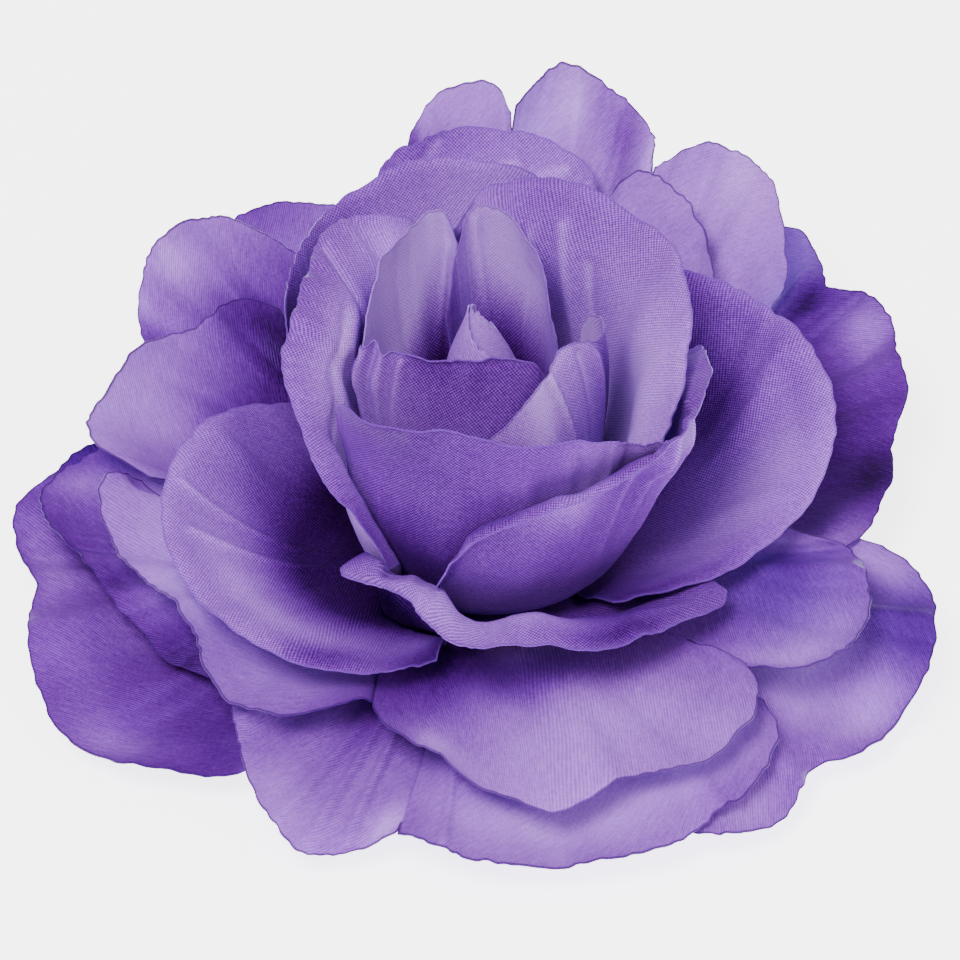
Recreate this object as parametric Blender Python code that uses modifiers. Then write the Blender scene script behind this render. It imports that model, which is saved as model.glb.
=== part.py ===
"""Head of a fabric rose: die-cut petal layers threaded on a plastic pin, round a rolled bud.

The flower stands on its back cap: +Z points up through the bud, the origin is the middle of
the cap's flat underside and the fullest petals lie towards -Y.  Lengths in the tables are
millimetres and angles are degrees; MM turns them into metres when the meshes are made.
"""
import math

import bmesh
import bpy
import numpy as np

MM = 0.001
OBJECT_NAME = "fabric_rose"

# ---------------------------------------------------------------- driving dimensions
SHEET = 0.4            # thickness of the stiffened satin
HUB_RADIUS = 6.0       # uncut middle of every petal layer
HUB_FIRST = 3.0        # height of the lowest layer's middle
HUB_STEP = 1.6         # from one layer's middle to the next
LAYERS = ("guard_petals", "skirt_petals", "collar_petals", "bowl_petals", "wrap_petals",
          "cup_petals", "heart_petals")
SEAT = 0.3             # gap between pieces that touch
PIN_RADIUS = 1.2
SPACER_RADIUS = 4.0
CAP_RADIUS = 9.0
CAP_EDGE = 0.6         # chamfer round the cap's lower edge
CAP_SOCKET_FLOOR = 0.8
PIN_TOP = 21.0
BUD_SHAPE = ((13.1, 2.6), (15.0, 3.6), (18.5, 4.6), (23.0, 5.0), (27.5, 4.6), (31.0, 3.6),
             (34.0, 2.3), (35.6, 1.2))     # height and radius of the foam bud, foot to top
BUD_TOP = 36.0
WRAP_FOOT = 15.5       # the rolled fabric's lower edge
WRAP_TIP = 42.0        # and its highest point
WRAP_TIP_RADIUS = 0.9
WRAP_TURNS = 1.55
WRAP_PITCH = 1.1       # from one turn of the roll to the next
WRAP_PITCH_TIP = 0.6   # and at its tip, where it is rolled tighter
WRAP_DROP = 5.5        # how much lower the roll's top edge is on the side away from its tip
WRAP_APEX = 165.0      # azimuth of the tip
WRAP_END = -70.0       # azimuth of the roll's outer edge
BUD_HOLLOW = 34.5      # the roll is empty above this height
BUD_UPRIGHT, BUD_LEANT = 24.0, 48.0    # heights between which the bud bends over
BUD_LEAN = (-2.9, 2.0)    # how far it would lean off the axis at the upper one
TURNED_SIDES = 32      # facets round a turned piece
WRAP_COLUMNS, WRAP_ROWS = 32, 12    # facets along and up the rolled cloth

# ---------------------------------------------------------------- how petals are laid
POLE = 6.0             # height on the axis that a petal's elevation is measured from
CLEAR = 1.15           # from the middle of one sheet to the middle of the next
SOFT = 0.8             # how gently a petal gives way to the one inside it
SLIT = 5.0             # cut between two neighbouring petals at the hub, degrees
LEAVE, FREE = 1.5, 11.0   # past the hub: where a petal starts to lift, where it is free
RELAX = 9.0            # past an edge, how soon the sheet below may rise again
FADE = 0.35            # and by how much, in radians
FORGOTTEN = 2.5        # past this many times RELAX a petal sets no limit
NO_LIMIT = 9.0         # an elevation that no petal reaches, in radians
STRAIGHT = 1.0         # past the hub: as far as every petal runs straight out
GIVING = 3.0           # from there, within how much it starts to give way to others
PARTING = 5.0          # and two petals of one layer get their full clearance
TURNING = ((0.75, 13.0), (0.25, 30.0))   # shares of its turn from root to rim, and where done
MATES_FAR = 20.0       # past the hub: where petals of one layer relax as those of others do
COLUMNS, ROWS = 120, 72   # fine grid on which the petals are laid
AZIMUTHS = np.arange(0.0, 360.0, 2.0)
REACHES = np.arange(5.0, 66.0, 1.0)

# elevation in which each layer leaves its hub, outermost layer first
START = (2.0, 6.0, 10.0, 13.0, 17.0, 21.0, 42.0)
STEEP = (0.12, 0.52, 0.84)       # a wall that turns up early, as in the cup
EVEN = (0.25, 0.52, 0.78)        # a steady rise from hub to rim
HOLLOW = (0.08, 0.36, 0.74)      # a bowl that stays low and then climbs
OPENED = (0.45, 0.90, 1.12)      # a wall that turns up at once and opens out at the rim
FLARED = (0.0, 0.0, 0.0, 0.0, 0.02, 0.60, 1.32)   # flat, then a short wall and a turned-out rim


def petal(layer, rim, rise=EVEN, joined=0.0, across=8, up=8):
    """One petal: its rim runs counter-clockwise through (azimuth, radius, height) points.

    rise gives the share of the rim's elevation reached at equal steps from hub to rim, joined
    is how far up the petal its last edge stays uncut from the next petal, and across and up
    count its facets.
    """
    return {"layer": layer, "rim": rim, "rise": rise, "joined": joined, "across": across, "up": up}


# listed from the bud outwards; a petal lies outside every petal above it in this table
PETALS = {
    # four small petals round the bud
    "heart_right_back": petal(7, [(30, 9, 27), (41, 9.5, 30.8), (55, 11, 36), (65, 13, 39.8),
                                  (77, 15, 41.4), (86, 16.5, 42.2), (93, 17, 42.3), (97.5, 16.6, 41.6),
                                  (101, 15.8, 39.8), (105, 14.5, 37.5), (109, 13.2, 34.6),
                                  (114, 12.5, 31)]),
    "heart_left_back": petal(7, [(84, 12.5, 30), (91, 13.2, 34), (98, 14.6, 37), (102.5, 16, 38.8),
                                 (106, 17.8, 41.1), (111, 18, 41.9), (120, 17.2, 41.7),
                                 (128, 16.4, 41.6), (138, 15.5, 41.2), (149, 14.5, 39.8), (160, 14, 38),
                                 (169, 13.8, 36), (177, 13.6, 33)]),
    "heart_front": petal(7, [(-178, 13.8, 36), (-175, 13.8, 39.4), (-166, 11.5, 40.2),
                             (-148, 8.8, 40.3), (-127, 6.8, 41), (-100, 5.9, 41.3), (-78, 5.6, 41.3),
                             (-50, 6.8, 40.4), (-38, 7.8, 38)]),
    "heart_right": petal(7, [(-102, 9.6, 30.5), (-97, 9.3, 33.5), (-83, 8.8, 35), (-67, 8.7, 37),
                             (-50, 8.6, 39), (-33, 8.4, 41.2), (-24, 9.3, 41.7), (-16, 10.4, 41.5),
                             (-7, 11.7, 40.2), (3, 12.4, 39.2), (12, 12.4, 39.3), (20, 11.7, 38.6),
                             (26, 11.2, 36.5), (29, 11, 33)]),
    # three tall petals that make the cup
    "cup_back": petal(6, [(-40, 21, 33), (-30, 21.8, 37), (-10, 21.8, 40.5), (15, 22.5, 42),
                          (38, 23, 42.5), (76, 22, 42.5), (93, 20, 41.5), (104, 17, 39)],
                      (0.40, 0.80, 1.03), across=12, up=9),
    "cup_front": petal(6, [(-153, 18.5, 35.5), (-149, 18.5, 38), (-133, 18.5, 39.6), (-120, 18.4, 41),
                           (-106, 17.7, 42), (-92, 17.3, 41.3), (-79, 17.7, 40.4), (-64, 18.6, 40.2),
                           (-53, 20, 39.4), (-43, 21, 37), (-36, 21.7, 36.3), (-30, 22.1, 35.8),
                           (-27, 22.1, 33)], STEEP, across=20, up=12),
    "cup_left": petal(6, [(112, 20.3, 38), (118, 20.6, 40), (133, 23.9, 41), (144, 24.3, 41.3),
                          (160, 23.2, 41), (175, 22.4, 40.5), (187, 23.2, 39.1), (199, 23.2, 36.5),
                          (213, 23.2, 32.6), (226, 22.6, 28), (235, 21.3, 23), (239, 20, 20)], OPENED,
                      across=12, up=12),
    # wraps against the cup
    "wrap_front": petal(5, [(-104, 20, 17), (-101, 20.2, 21), (-99, 20.4, 25.5), (-96, 20.6, 28.6),
                            (-88, 20.6, 31), (-72, 21, 33.4), (-59, 22, 34.8), (-48, 23.6, 37.3),
                            (-35, 25, 38.8), (-20, 25.2, 39.2), (-12, 24.9, 38.8), (-4, 24.5, 38.2),
                            (2, 23.9, 37), (7, 23, 35), (9, 22.6, 33)], (0.30, 0.78, 1.04), across=20,
                        up=12),
    "wrap_back": petal(5, [(72, 28, 33), (84, 29.5, 37), (96, 29.5, 38), (110, 30, 38), (125, 31, 36),
                           (142, 28.5, 35), (156, 26.3, 33), (166, 24.8, 30), (172, 23.5, 26)],
                       across=10),
    # wide bowls
    "bowl_right": petal(4, [(-50, 20, 13.5), (-36, 24.5, 15), (-22, 29, 16.5), (-8, 35, 21),
                            (6, 37, 26), (20, 35, 29), (34, 31.5, 30.5), (44, 27, 31), (50, 22, 31)],
                        HOLLOW, across=10),
    "bowl_collar": petal(4, [(-141, 19.5, 17), (-138.5, 22, 19.2), (-134, 23.8, 20.1), (-125, 23, 20.2),
                             (-117, 22.8, 20), (-108, 24.7, 19.4), (-99, 26.7, 18.6), (-92, 26.8, 18),
                             (-79, 25.8, 17.8), (-68, 28.3, 17.6), (-60, 28.3, 17.2), (-52, 28.6, 16.8),
                             (-43, 28.6, 16.2), (-36, 29.8, 15.5), (-30, 29.7, 15), (-27, 27.6, 15)],
                         FLARED, across=12, up=12),
    "bowl_left": petal(4, [(160, 22, 22), (172, 28, 24.5), (181, 32.5, 25), (190, 36, 23.5),
                           (206, 37, 20), (220, 36, 18), (240, 31, 15.5), (251, 27.5, 14),
                           (258, 24.5, 13.5)], HOLLOW, across=10),
    "bowl_back": petal(4, [(71, 36, 25), (74, 41, 27.5), (82, 43.5, 29.5), (95, 44, 30),
                           (103, 43, 28.6), (108, 41.5, 26.8), (110, 38, 24)]),
    # collar of opened petals
    "collar_front": petal(3, [(-118, 26, 11), (-113, 31.5, 11), (-106, 34, 11), (-100, 35.5, 10.8),
                              (-89, 39.8, 10.4), (-80, 42, 10), (-73.5, 41.4, 10.4), (-67, 41.5, 10.6),
                              (-58, 42.3, 11), (-48, 41.7, 12), (-42.5, 39.4, 12), (-39, 35, 12)],
                          joined=0.75),
    "collar_right": petal(3, [(-39, 36, 12), (-37, 40, 12), (-29, 44, 13), (-18, 43.5, 13),
                              (-10, 40, 13.5), (-7, 33, 14)]),
    "collar_back": petal(3, [(42, 33, 20), (49, 38, 23.5), (59, 43, 26), (68, 43.5, 26.5),
                             (71, 39, 24)]),
    "collar_left_back": petal(3, [(139, 31, 24), (143, 35, 25), (146, 36.6, 24.2), (150, 38.2, 22.5),
                                  (155, 41.9, 21.5), (162, 44.4, 19.5), (168, 45.2, 18),
                                  (173, 44, 17.5), (177, 38, 16)]),
    "collar_left": petal(3, [(179, 38, 17.5), (181, 43, 18.5), (187, 42.5, 16), (195, 40.7, 15),
                             (203, 38.7, 14.2), (211, 37.9, 13.7), (219, 39.2, 12.7), (227, 39, 11.5),
                             (236, 36.5, 11.5), (243, 31.5, 11.5), (248, 26.5, 11.5)]),
    # skirt
    "skirt_right_back": petal(2, [(36, 38, 18), (43, 46, 21.5), (53, 51.5, 25.5), (61, 51, 27),
                                  (66, 46, 25.5)]),
    "skirt_back_right": petal(2, [(66, 42, 24), (68, 49, 28), (74, 51.5, 31), (81, 52, 33),
                                  (86.5, 47.5, 30)], joined=0.9, across=6),
    "skirt_back_left": petal(2, [(87, 47.5, 30), (90, 50.5, 31), (96, 50.5, 30.5), (100.5, 47, 28),
                                 (103, 42, 26)], across=6),
    "skirt_left_back": petal(2, [(124, 36, 22), (129, 42.5, 24.5), (133, 47.5, 25), (137, 49.8, 23),
                                 (142, 49.3, 20.5), (147, 47.5, 15.5), (150, 42, 13)]),
    "skirt_left": petal(2, [(163, 40, 13), (169, 46, 14), (177, 49.3, 13.5), (182, 49, 12),
                            (185, 46.2, 11.5), (190, 43.8, 11), (197, 42, 9.8), (206, 40, 8.7),
                            (214, 37, 8)]),
    "skirt_front_left": petal(2, [(-142, 33, 9), (-136, 38.8, 9), (-130, 41.8, 8), (-122, 45.5, 6),
                                  (-115, 47.5, 4.5), (-109, 45.3, 4.5), (-103.6, 42, 5)], joined=0.97,
                              across=6),
    "skirt_front": petal(2, [(-103.4, 42, 5), (-97, 44, 5), (-90, 45.6, 5), (-75.4, 46.4, 5),
                             (-62, 46.6, 5.5), (-54.6, 46, 6.5), (-44.8, 43.6, 8.5), (-40, 38.5, 9)]),
    # guard petals, nearly flat
    "guard_right_back": petal(1, [(-6, 36, 8), (0, 41.5, 9), (5, 43.5, 9.5), (11, 46.1, 10),
                                  (17, 47.6, 11.5), (22.3, 51.1, 13), (27.5, 51.7, 14), (32, 53.2, 15),
                                  (37, 53, 16), (40, 51, 16), (43, 52, 17), (50, 54, 17), (56, 48, 16)],
                              across=12),
    "guard_back": petal(1, [(107, 38, 20), (112, 44.5, 20.5), (118.5, 48.5, 19.5), (125, 51, 17.5),
                            (131, 50, 16), (137, 45, 13)]),
    "guard_left": petal(1, [(163, 40, 12), (168, 45.8, 14), (173, 49, 12.5), (177.5, 53, 10.5),
                            (183, 51.5, 7.5), (187, 50, 6.2), (192, 51.8, 5), (201, 53.3, 4),
                            (209, 53, 4), (217, 50, 4), (224, 45.5, 4), (229, 42.5, 4), (231, 38, 4)],
                        across=10),
    "guard_front": petal(1, [(244, 34, 4), (251, 38, 3.5), (264, 39.5, 3.5), (277, 38.5, 3.5),
                             (284, 33, 4)]),
    "guard_right": petal(1, [(-66, 42, 4), (-62, 45.8, 4), (-56, 48.4, 4), (-48.8, 48.8, 4),
                             (-41, 47, 4.6), (-34.5, 49.8, 5), (-21, 51.3, 6), (-12, 50.4, 7.3),
                             (-4, 46, 7.8), (3, 38, 7)], across=12),
}


# ---------------------------------------------------------------- petal geometry
def hub_height(layer):
    return HUB_FIRST + HUB_STEP * (layer - 1)


def smooth(x):
    x = np.clip(x, 0.0, 1.0)
    return x * x * (3.0 - 2.0 * x)


def curve_through(points, where):
    """Smooth curve through the points, read at where (0 to 1) and paced by chord length."""
    points = np.asarray(points, float)
    chords = np.sqrt(np.linalg.norm(np.diff(points, axis=0), axis=1))
    pace = np.concatenate([[0.0], np.cumsum(chords)]) / chords.sum()
    slopes = np.gradient(points, pace, axis=0)
    k = np.clip(np.searchsorted(pace, where, side="right") - 1, 0, len(pace) - 2)
    span = (pace[k + 1] - pace[k])[:, None]
    f = ((where - pace[k]) / (pace[k + 1] - pace[k]))[:, None]
    return ((2 * f ** 3 - 3 * f ** 2 + 1) * points[k] + (f ** 3 - 2 * f ** 2 + f) * span * slopes[k]
            + (3 * f ** 2 - 2 * f ** 3) * points[k + 1] + (f ** 3 - f ** 2) * span * slopes[k + 1])


def eased(values, where):
    """Smooth curve through equally spaced values, read at where (0 to 1)."""
    values = np.asarray(values, float)
    last = len(values) - 1
    x = np.clip(where, 0.0, 1.0) * last
    k = np.minimum(x.astype(int), last - 1)
    f = x - k
    padded = np.concatenate([[2 * values[0] - values[1]], values, [2 * values[-1] - values[-2]]])
    a, b, c, d = padded[k], padded[k + 1], padded[k + 2], padded[k + 3]
    return 0.5 * (2 * b + (c - a) * f + (2 * a - 5 * b + 4 * c - d) * f ** 2
                  + (3 * b - a - 3 * c + d) * f ** 3)


def gentle_min(a, b, reach):
    """The lower of a and b, rounded off where they are within reach of one another."""
    near = np.clip(1.0 - np.abs(a - b) / reach, 0.0, 1.0)
    return np.minimum(a, b) - reach * near ** 2 / 4.0


def rim_in_polar(shape, across):
    """Azimuth, reach and elevation of a petal's rim, seen from the pole."""
    azimuths = np.radians([p[0] for p in shape["rim"]])
    radii = np.array([p[1] for p in shape["rim"]], float)
    heights = np.array([p[2] for p in shape["rim"]], float)
    corners = np.stack([radii * np.cos(azimuths), radii * np.sin(azimuths), heights], axis=-1)
    line = curve_through(corners, (across + 1.0) / 2.0)
    middle = (azimuths[0] + azimuths[-1]) / 2.0
    turned = np.arctan2(line[:, 1], line[:, 0]) - middle
    azimuth = middle + (turned + math.pi) % (2 * math.pi) - math.pi
    radius = np.hypot(line[:, 0], line[:, 1])
    rise = line[:, 2] - POLE
    return azimuth, np.hypot(radius, rise), np.arctan2(rise, radius)


def hub_slots(names):
    """The stretch of hub that each petal of one layer grows from, in radians."""
    middles = {n: math.radians((PETALS[n]["rim"][0][0] + PETALS[n]["rim"][-1][0]) / 2.0) for n in names}
    turn = 2 * math.pi
    ring = sorted(names, key=lambda n: middles[n] % turn)
    slots = {}
    for k, name in enumerate(ring):
        here = middles[name]
        before = (here - middles[ring[k - 1]]) % turn or turn
        after = (middles[ring[(k + 1) % len(ring)]] - here) % turn or turn
        slots[name] = (here - before / 2.0, here + after / 2.0)
    return ring, slots


def wanted(shape, up, reach, rim_elevation):
    """Elevation that a petal would take if it had the room to itself."""
    start = math.radians(START[shape["layer"] - 1])
    share = eased((0.0,) + tuple(shape["rise"]) + (1.0,), up)
    free = start + (rim_elevation - start) * share
    above = hub_height(shape["layer"]) - POLE
    flat = np.arcsin(np.clip(above / reach, -1.0, 1.0))
    hub = math.hypot(HUB_RADIUS, above)
    lifted = smooth((reach - hub - LEAVE) / (FREE - LEAVE))
    return flat * (1 - lifted) + free * lifted


def lay_petals():
    """Lay every petal outside the ones before it; returns a fine grid of points for each."""
    across = np.linspace(-1.0, 1.0, COLUMNS + 1)
    table_azimuths = np.radians(AZIMUTHS)
    inner = np.full((len(REACHES), len(AZIMUTHS)), NO_LIMIT)     # limit set by the layers inside
    mates = inner.copy()                                    # limit set by the same layer
    waiting = inner.copy()                                  # what this layer will set for the next
    layer = None
    grids = {}
    for name, shape in PETALS.items():
        if shape["layer"] != layer:
            layer = shape["layer"]
            inner = np.minimum(inner, waiting)
            mates = np.full_like(inner, NO_LIMIT)
            waiting = np.full_like(inner, NO_LIMIT)
            slots = hub_slots([n for n in PETALS if PETALS[n]["layer"] == layer])[1]
        above = hub_height(layer) - POLE
        hub = math.hypot(HUB_RADIUS, above)
        azimuth_rim, reach_rim, elevation_rim = rim_in_polar(shape, across)
        low, high = slots[name]
        half_slit = math.radians(SLIT) / 2.0
        root = low + half_slit + (high - low - 2 * half_slit) * (across + 1.0) / 2.0
        settled = np.zeros((len(REACHES), COLUMNS + 1))
        line_azimuths = np.zeros_like(settled)
        for j, reach in enumerate(REACHES):
            up = (reach - hub) / (reach_rim - hub)
            past_hub = reach - hub
            spread = sum(share * smooth((past_hub - STRAIGHT) / done) for share, done in TURNING)
            azimuth = root * (1 - spread) + azimuth_rim * spread
            line_azimuths[j] = azimuth
            level = wanted(shape, up, reach, elevation_rim)
            limit = np.interp(azimuth, table_azimuths, np.minimum(inner, mates)[j], period=2 * math.pi)
            given = smooth((past_hub - STRAIGHT) / GIVING)
            settled[j] = level + (gentle_min(level, limit, SOFT / reach) - level) * given
            # the limit that this petal sets, in its outline and fading out past it
            turned = (table_azimuths - (azimuth[0] + azimuth[-1]) / 2.0 + math.pi) % (2 * math.pi) - math.pi
            place = turned + (azimuth[0] + azimuth[-1]) / 2.0
            own_level = np.interp(place, azimuth, settled[j])
            past_rim = np.interp(place, azimuth, np.clip((up - 1.0) * (reach_rim - hub), 0, None))
            past_edge = np.clip(np.abs(turned) - (azimuth[-1] - azimuth[0]) / 2.0, 0, None)
            past_edge = past_edge * reach * np.cos(own_level)
            past = np.hypot(past_rim, past_edge)
            ceiling = own_level - CLEAR / reach + FADE * (past / RELAX) ** 2
            waiting[j] = np.minimum(waiting[j], np.where(past > FORGOTTEN * RELAX, NO_LIMIT, ceiling))
            grown = smooth((past_hub - STRAIGHT) / PARTING)
            relax = 1.0 + (RELAX - 1.0) * smooth(past_hub / MATES_FAR)
            ceiling = own_level - CLEAR * grown / reach + FADE * (past / relax) ** 2
            mates[j] = np.minimum(mates[j], np.where(past > FORGOTTEN * relax, NO_LIMIT, ceiling))
        grids[name] = grid_points(across, hub, reach_rim, settled, line_azimuths)
    return grids


def grid_points(across, hub, reach_rim, settled, line_azimuths):
    """Points of one petal, rows from hub to rim and columns across."""
    points = np.zeros((ROWS + 1, len(across), 3))
    up = np.linspace(0.0, 1.0, ROWS + 1)
    for i in range(len(across)):
        reach = hub + (reach_rim[i] - hub) * up
        elevation = np.interp(reach, REACHES, settled[:, i])
        azimuth = np.interp(reach, REACHES, line_azimuths[:, i])
        radius = reach * np.cos(elevation)
        points[:, i, 0] = radius * np.cos(azimuth)
        points[:, i, 1] = radius * np.sin(azimuth)
        points[:, i, 2] = POLE + reach * np.sin(elevation)
    return points


def sew_joined(grids):
    """Bring the shared edges of joined petals together, up to where they are cut apart."""
    weight_across = smooth(np.linspace(-1.0, 1.0, COLUMNS + 1))
    up = np.linspace(0.0, 1.0, ROWS + 1)
    for names in layer_rings().values():
        for name, following in zip(names, names[1:] + names[:1]):
            joined = PETALS[name]["joined"]
            if not joined:
                continue
            left, right = grids[name], grids[following]
            middle = (left[:, -1] + right[:, 0]) / 2.0
            hold = np.where(up <= joined + 1e-6, 1.0, smooth(1.0 - (up - joined) / 0.12))[:, None, None]
            left += (middle - left[:, -1])[:, None] * hold * weight_across[None, :, None]
            right += (middle - right[:, 0])[:, None] * hold * weight_across[None, ::-1, None]


def layer_rings():
    """Petal names of each layer in order round the hub."""
    layers = sorted({shape["layer"] for shape in PETALS.values()})
    return {layer: hub_slots([n for n in PETALS if PETALS[n]["layer"] == layer])[0] for layer in layers}


# ---------------------------------------------------------------- meshes
def clear_scene():
    for thing in list(bpy.data.objects):
        bpy.data.objects.remove(thing, do_unlink=True)


def add_object(name, mesh, look, parent, collection):
    """Put a mesh in the scene with a material of its own."""
    colour, roughness = look
    material = bpy.data.materials.new(name + "_material")
    material.use_nodes = True
    shader = material.node_tree.nodes["Principled BSDF"]
    shader.inputs["Base Color"].default_value = (*colour, 1.0)
    shader.inputs["Roughness"].default_value = roughness
    shader.inputs["Metallic"].default_value = 0.0
    mesh.materials.append(material)
    for face in mesh.polygons:
        face.use_smooth = True
    thing = bpy.data.objects.new(name, mesh)
    thing.parent = parent
    collection.objects.link(thing)
    return thing


def sheet_modifier(thing):
    """Give an open surface the thickness of the fabric, half on each side."""
    solidify = thing.modifiers.new("thickness", "SOLIDIFY")
    solidify.thickness = SHEET * MM
    solidify.offset = 0.0
    return thing


def layer_mesh(layer, names, grids):
    """Open surface of one die-cut layer: the hub with its pin hole, and the petals round it."""
    verts, faces, roots = [], [], []
    seam = None
    for name in names:
        shape = PETALS[name]
        grid = grids[name][::ROWS // shape["up"], ::COLUMNS // shape["across"]]
        rows, columns = grid.shape[:2]
        index = np.zeros((rows, columns), int)
        for i in range(columns):
            for j in range(rows):
                if i == 0 and seam is not None and j < len(seam):
                    index[j, i] = seam[j]
                    continue
                index[j, i] = len(verts)
                verts.append(tuple(grid[j, i] * MM))
        for j in range(rows - 1):
            for i in range(columns - 1):
                faces.append((index[j, i], index[j, i + 1], index[j + 1, i + 1], index[j + 1, i]))
        skip = 1 if seam is not None else 0
        roots.extend(index[0, skip:])
        kept = int(round(shape["joined"] * (rows - 1)))
        seam = list(index[:kept + 1, -1]) if kept else None
    hole = PIN_RADIUS + SEAT
    inner = []
    for root in roots:
        x, y, z = verts[root]
        share = hole * MM / math.hypot(x, y)
        inner.append(len(verts))
        verts.append((x * share, y * share, hub_height(layer) * MM))
    for k in range(len(roots)):
        n = (k + 1) % len(roots)
        faces.append((inner[k], inner[n], roots[n], roots[k]))
    mesh = bpy.data.meshes.new(LAYERS[layer - 1])
    mesh.from_pydata(verts, [], [[int(v) for v in f] for f in faces])
    return mesh


def turned_mesh(name, profile):
    """Closed solid turned about +Z from (radius, height) points, listed upwards on the outside."""
    form = bmesh.new()
    angles = [2 * math.pi * k / TURNED_SIDES for k in range(TURNED_SIDES)]
    rings = []
    for radius, height in profile:
        if radius == 0.0:
            rings.append([form.verts.new((0.0, 0.0, height * MM))])
        else:
            rings.append([form.verts.new((radius * math.cos(a) * MM, radius * math.sin(a) * MM, height * MM))
                          for a in angles])
    closing = [] if len(rings[0]) == 1 and len(rings[-1]) == 1 else [(rings[-1], rings[0])]
    for low, high in list(zip(rings, rings[1:])) + closing:
        for k in range(TURNED_SIDES):
            n = (k + 1) % TURNED_SIDES
            corners = [low[k % len(low)], low[n % len(low)], high[n % len(high)], high[k % len(high)]]
            form.faces.new(list(dict.fromkeys(corners)))
    mesh = bpy.data.meshes.new(name)
    form.to_mesh(mesh)
    form.free()
    return mesh


def bud_radius(height):
    """Radius of the foam bud, or of the hollow tip that the cloth makes above it."""
    solid = [(h, r) for h, r in BUD_SHAPE if h < BUD_HOLLOW]
    heights = [h for h, r in solid] + [WRAP_TIP]
    radii = [r for h, r in solid] + [WRAP_TIP_RADIUS - SEAT - SHEET / 2]
    return np.interp(height, heights, radii)


def bud_lean(height):
    """How far the bud's middle is off the axis at this height."""
    share = float(smooth((height - BUD_UPRIGHT) / (BUD_LEANT - BUD_UPRIGHT)))
    return BUD_LEAN[0] * share, BUD_LEAN[1] * share


def roll_point(turn, level, ragged=0.0):
    """Point of the rolled cloth, this many turns out and at this share of its height."""
    azimuth = math.radians(WRAP_END) + 2 * math.pi * (turn - WRAP_TURNS)
    fallen = 0.5 - 0.5 * math.cos(azimuth - math.radians(WRAP_APEX))
    top = WRAP_TIP - WRAP_DROP * fallen + ragged
    height = WRAP_FOOT + (top - WRAP_FOOT) * level
    tip = smooth((height - BUD_HOLLOW) / (WRAP_TIP - BUD_HOLLOW))
    pitch = WRAP_PITCH + (WRAP_PITCH_TIP - WRAP_PITCH) * tip
    radius = bud_radius(height) + SEAT + SHEET / 2 + pitch * turn
    aside = bud_lean(height)
    return radius * math.cos(azimuth) + aside[0], radius * math.sin(azimuth) + aside[1], height


def wrap_mesh():
    """Open surface of the cloth rolled round the bud, its tip leaning to one side."""
    turns = np.linspace(0.0, WRAP_TURNS, WRAP_COLUMNS + 1)
    levels = np.linspace(0.0, 1.0, WRAP_ROWS + 1)
    verts = [tuple(c * MM for c in roll_point(turn, level)) for turn in turns for level in levels]
    count = len(levels)
    faces = []
    for i in range(len(turns) - 1):
        for j in range(count - 1):
            a = i * count + j
            faces.append((a, a + count, a + count + 1, a + 1))
    mesh = bpy.data.meshes.new("bud_wrap")
    mesh.from_pydata(verts, [], faces)
    return mesh


def build():
    clear_scene()
    parts = bpy.data.collections.new(OBJECT_NAME)
    bpy.context.scene.collection.children.link(parts)
    holder = bpy.data.objects.new(OBJECT_NAME + "_axis", None)
    parts.objects.link(holder)
    satin = ((0.30, 0.17, 0.56), 0.55)
    taffeta = ((0.36, 0.22, 0.60), 0.62)
    plastic = ((0.10, 0.22, 0.08), 0.45)
    foam = ((0.85, 0.84, 0.80), 0.8)

    grids = lay_petals()
    sew_joined(grids)
    for layer, names in layer_rings().items():
        look = satin if layer <= 3 else taffeta
        mesh = layer_mesh(layer, names, grids)
        sheet_modifier(add_object(LAYERS[layer - 1], mesh, look, holder, parts))

    hole = PIN_RADIUS + SEAT
    cap_top = hub_height(1) - SHEET / 2 - SEAT
    cap = turned_mesh("back_cap", [
        (0.0, 0.0), (CAP_RADIUS - CAP_EDGE, 0.0), (CAP_RADIUS, CAP_EDGE), (CAP_RADIUS, cap_top),
        (hole, cap_top), (hole, CAP_SOCKET_FLOOR), (0.0, CAP_SOCKET_FLOOR)])
    add_object("back_cap", cap, plastic, holder, parts)
    pin_foot = CAP_SOCKET_FLOOR + SEAT
    pin = turned_mesh("pin", [(0.0, 0.0), (PIN_RADIUS, 0.0), (PIN_RADIUS, PIN_TOP - pin_foot),
                              (0.0, PIN_TOP - pin_foot)])
    add_object("pin", pin, plastic, holder, parts).location.z = pin_foot * MM
    spacer_height = HUB_STEP - SHEET - 2 * SEAT
    for k in range(len(LAYERS) - 1):
        name = "spacer_%d" % (k + 1)
        ring = turned_mesh(name, [(hole, 0.0), (SPACER_RADIUS, 0.0), (SPACER_RADIUS, spacer_height),
                                  (hole, spacer_height)])
        spacer = add_object(name, ring, plastic, holder, parts)
        spacer.location.z = (hub_height(k + 1) + SHEET / 2 + SEAT) * MM

    foot = BUD_SHAPE[0][0]
    socket_top = PIN_TOP + SEAT
    outline = [(radius, height - foot) for height, radius in BUD_SHAPE]
    core = turned_mesh("bud_core", [(0.0, socket_top - foot), (hole, socket_top - foot), (hole, 0.0)]
                       + outline + [(0.0, BUD_TOP - foot)])
    for vertex in core.vertices:
        aside = bud_lean(vertex.co.z / MM + foot)
        vertex.co.x += aside[0] * MM
        vertex.co.y += aside[1] * MM
    add_object("bud_core", core, foam, holder, parts).location.z = foot * MM
    sheet_modifier(add_object("bud_wrap", wrap_mesh(), taffeta, holder, parts))


build()
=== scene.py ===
"""Head of a fabric rose: die-cut petal layers threaded on a pin, round a rolled bud.

Lengths in the tables are millimetres and angles are degrees; MM turns them into metres when
the meshes are made.  Every petal layer is one cloth, cut in one piece and shaped by hand.
"""
import math

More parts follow.
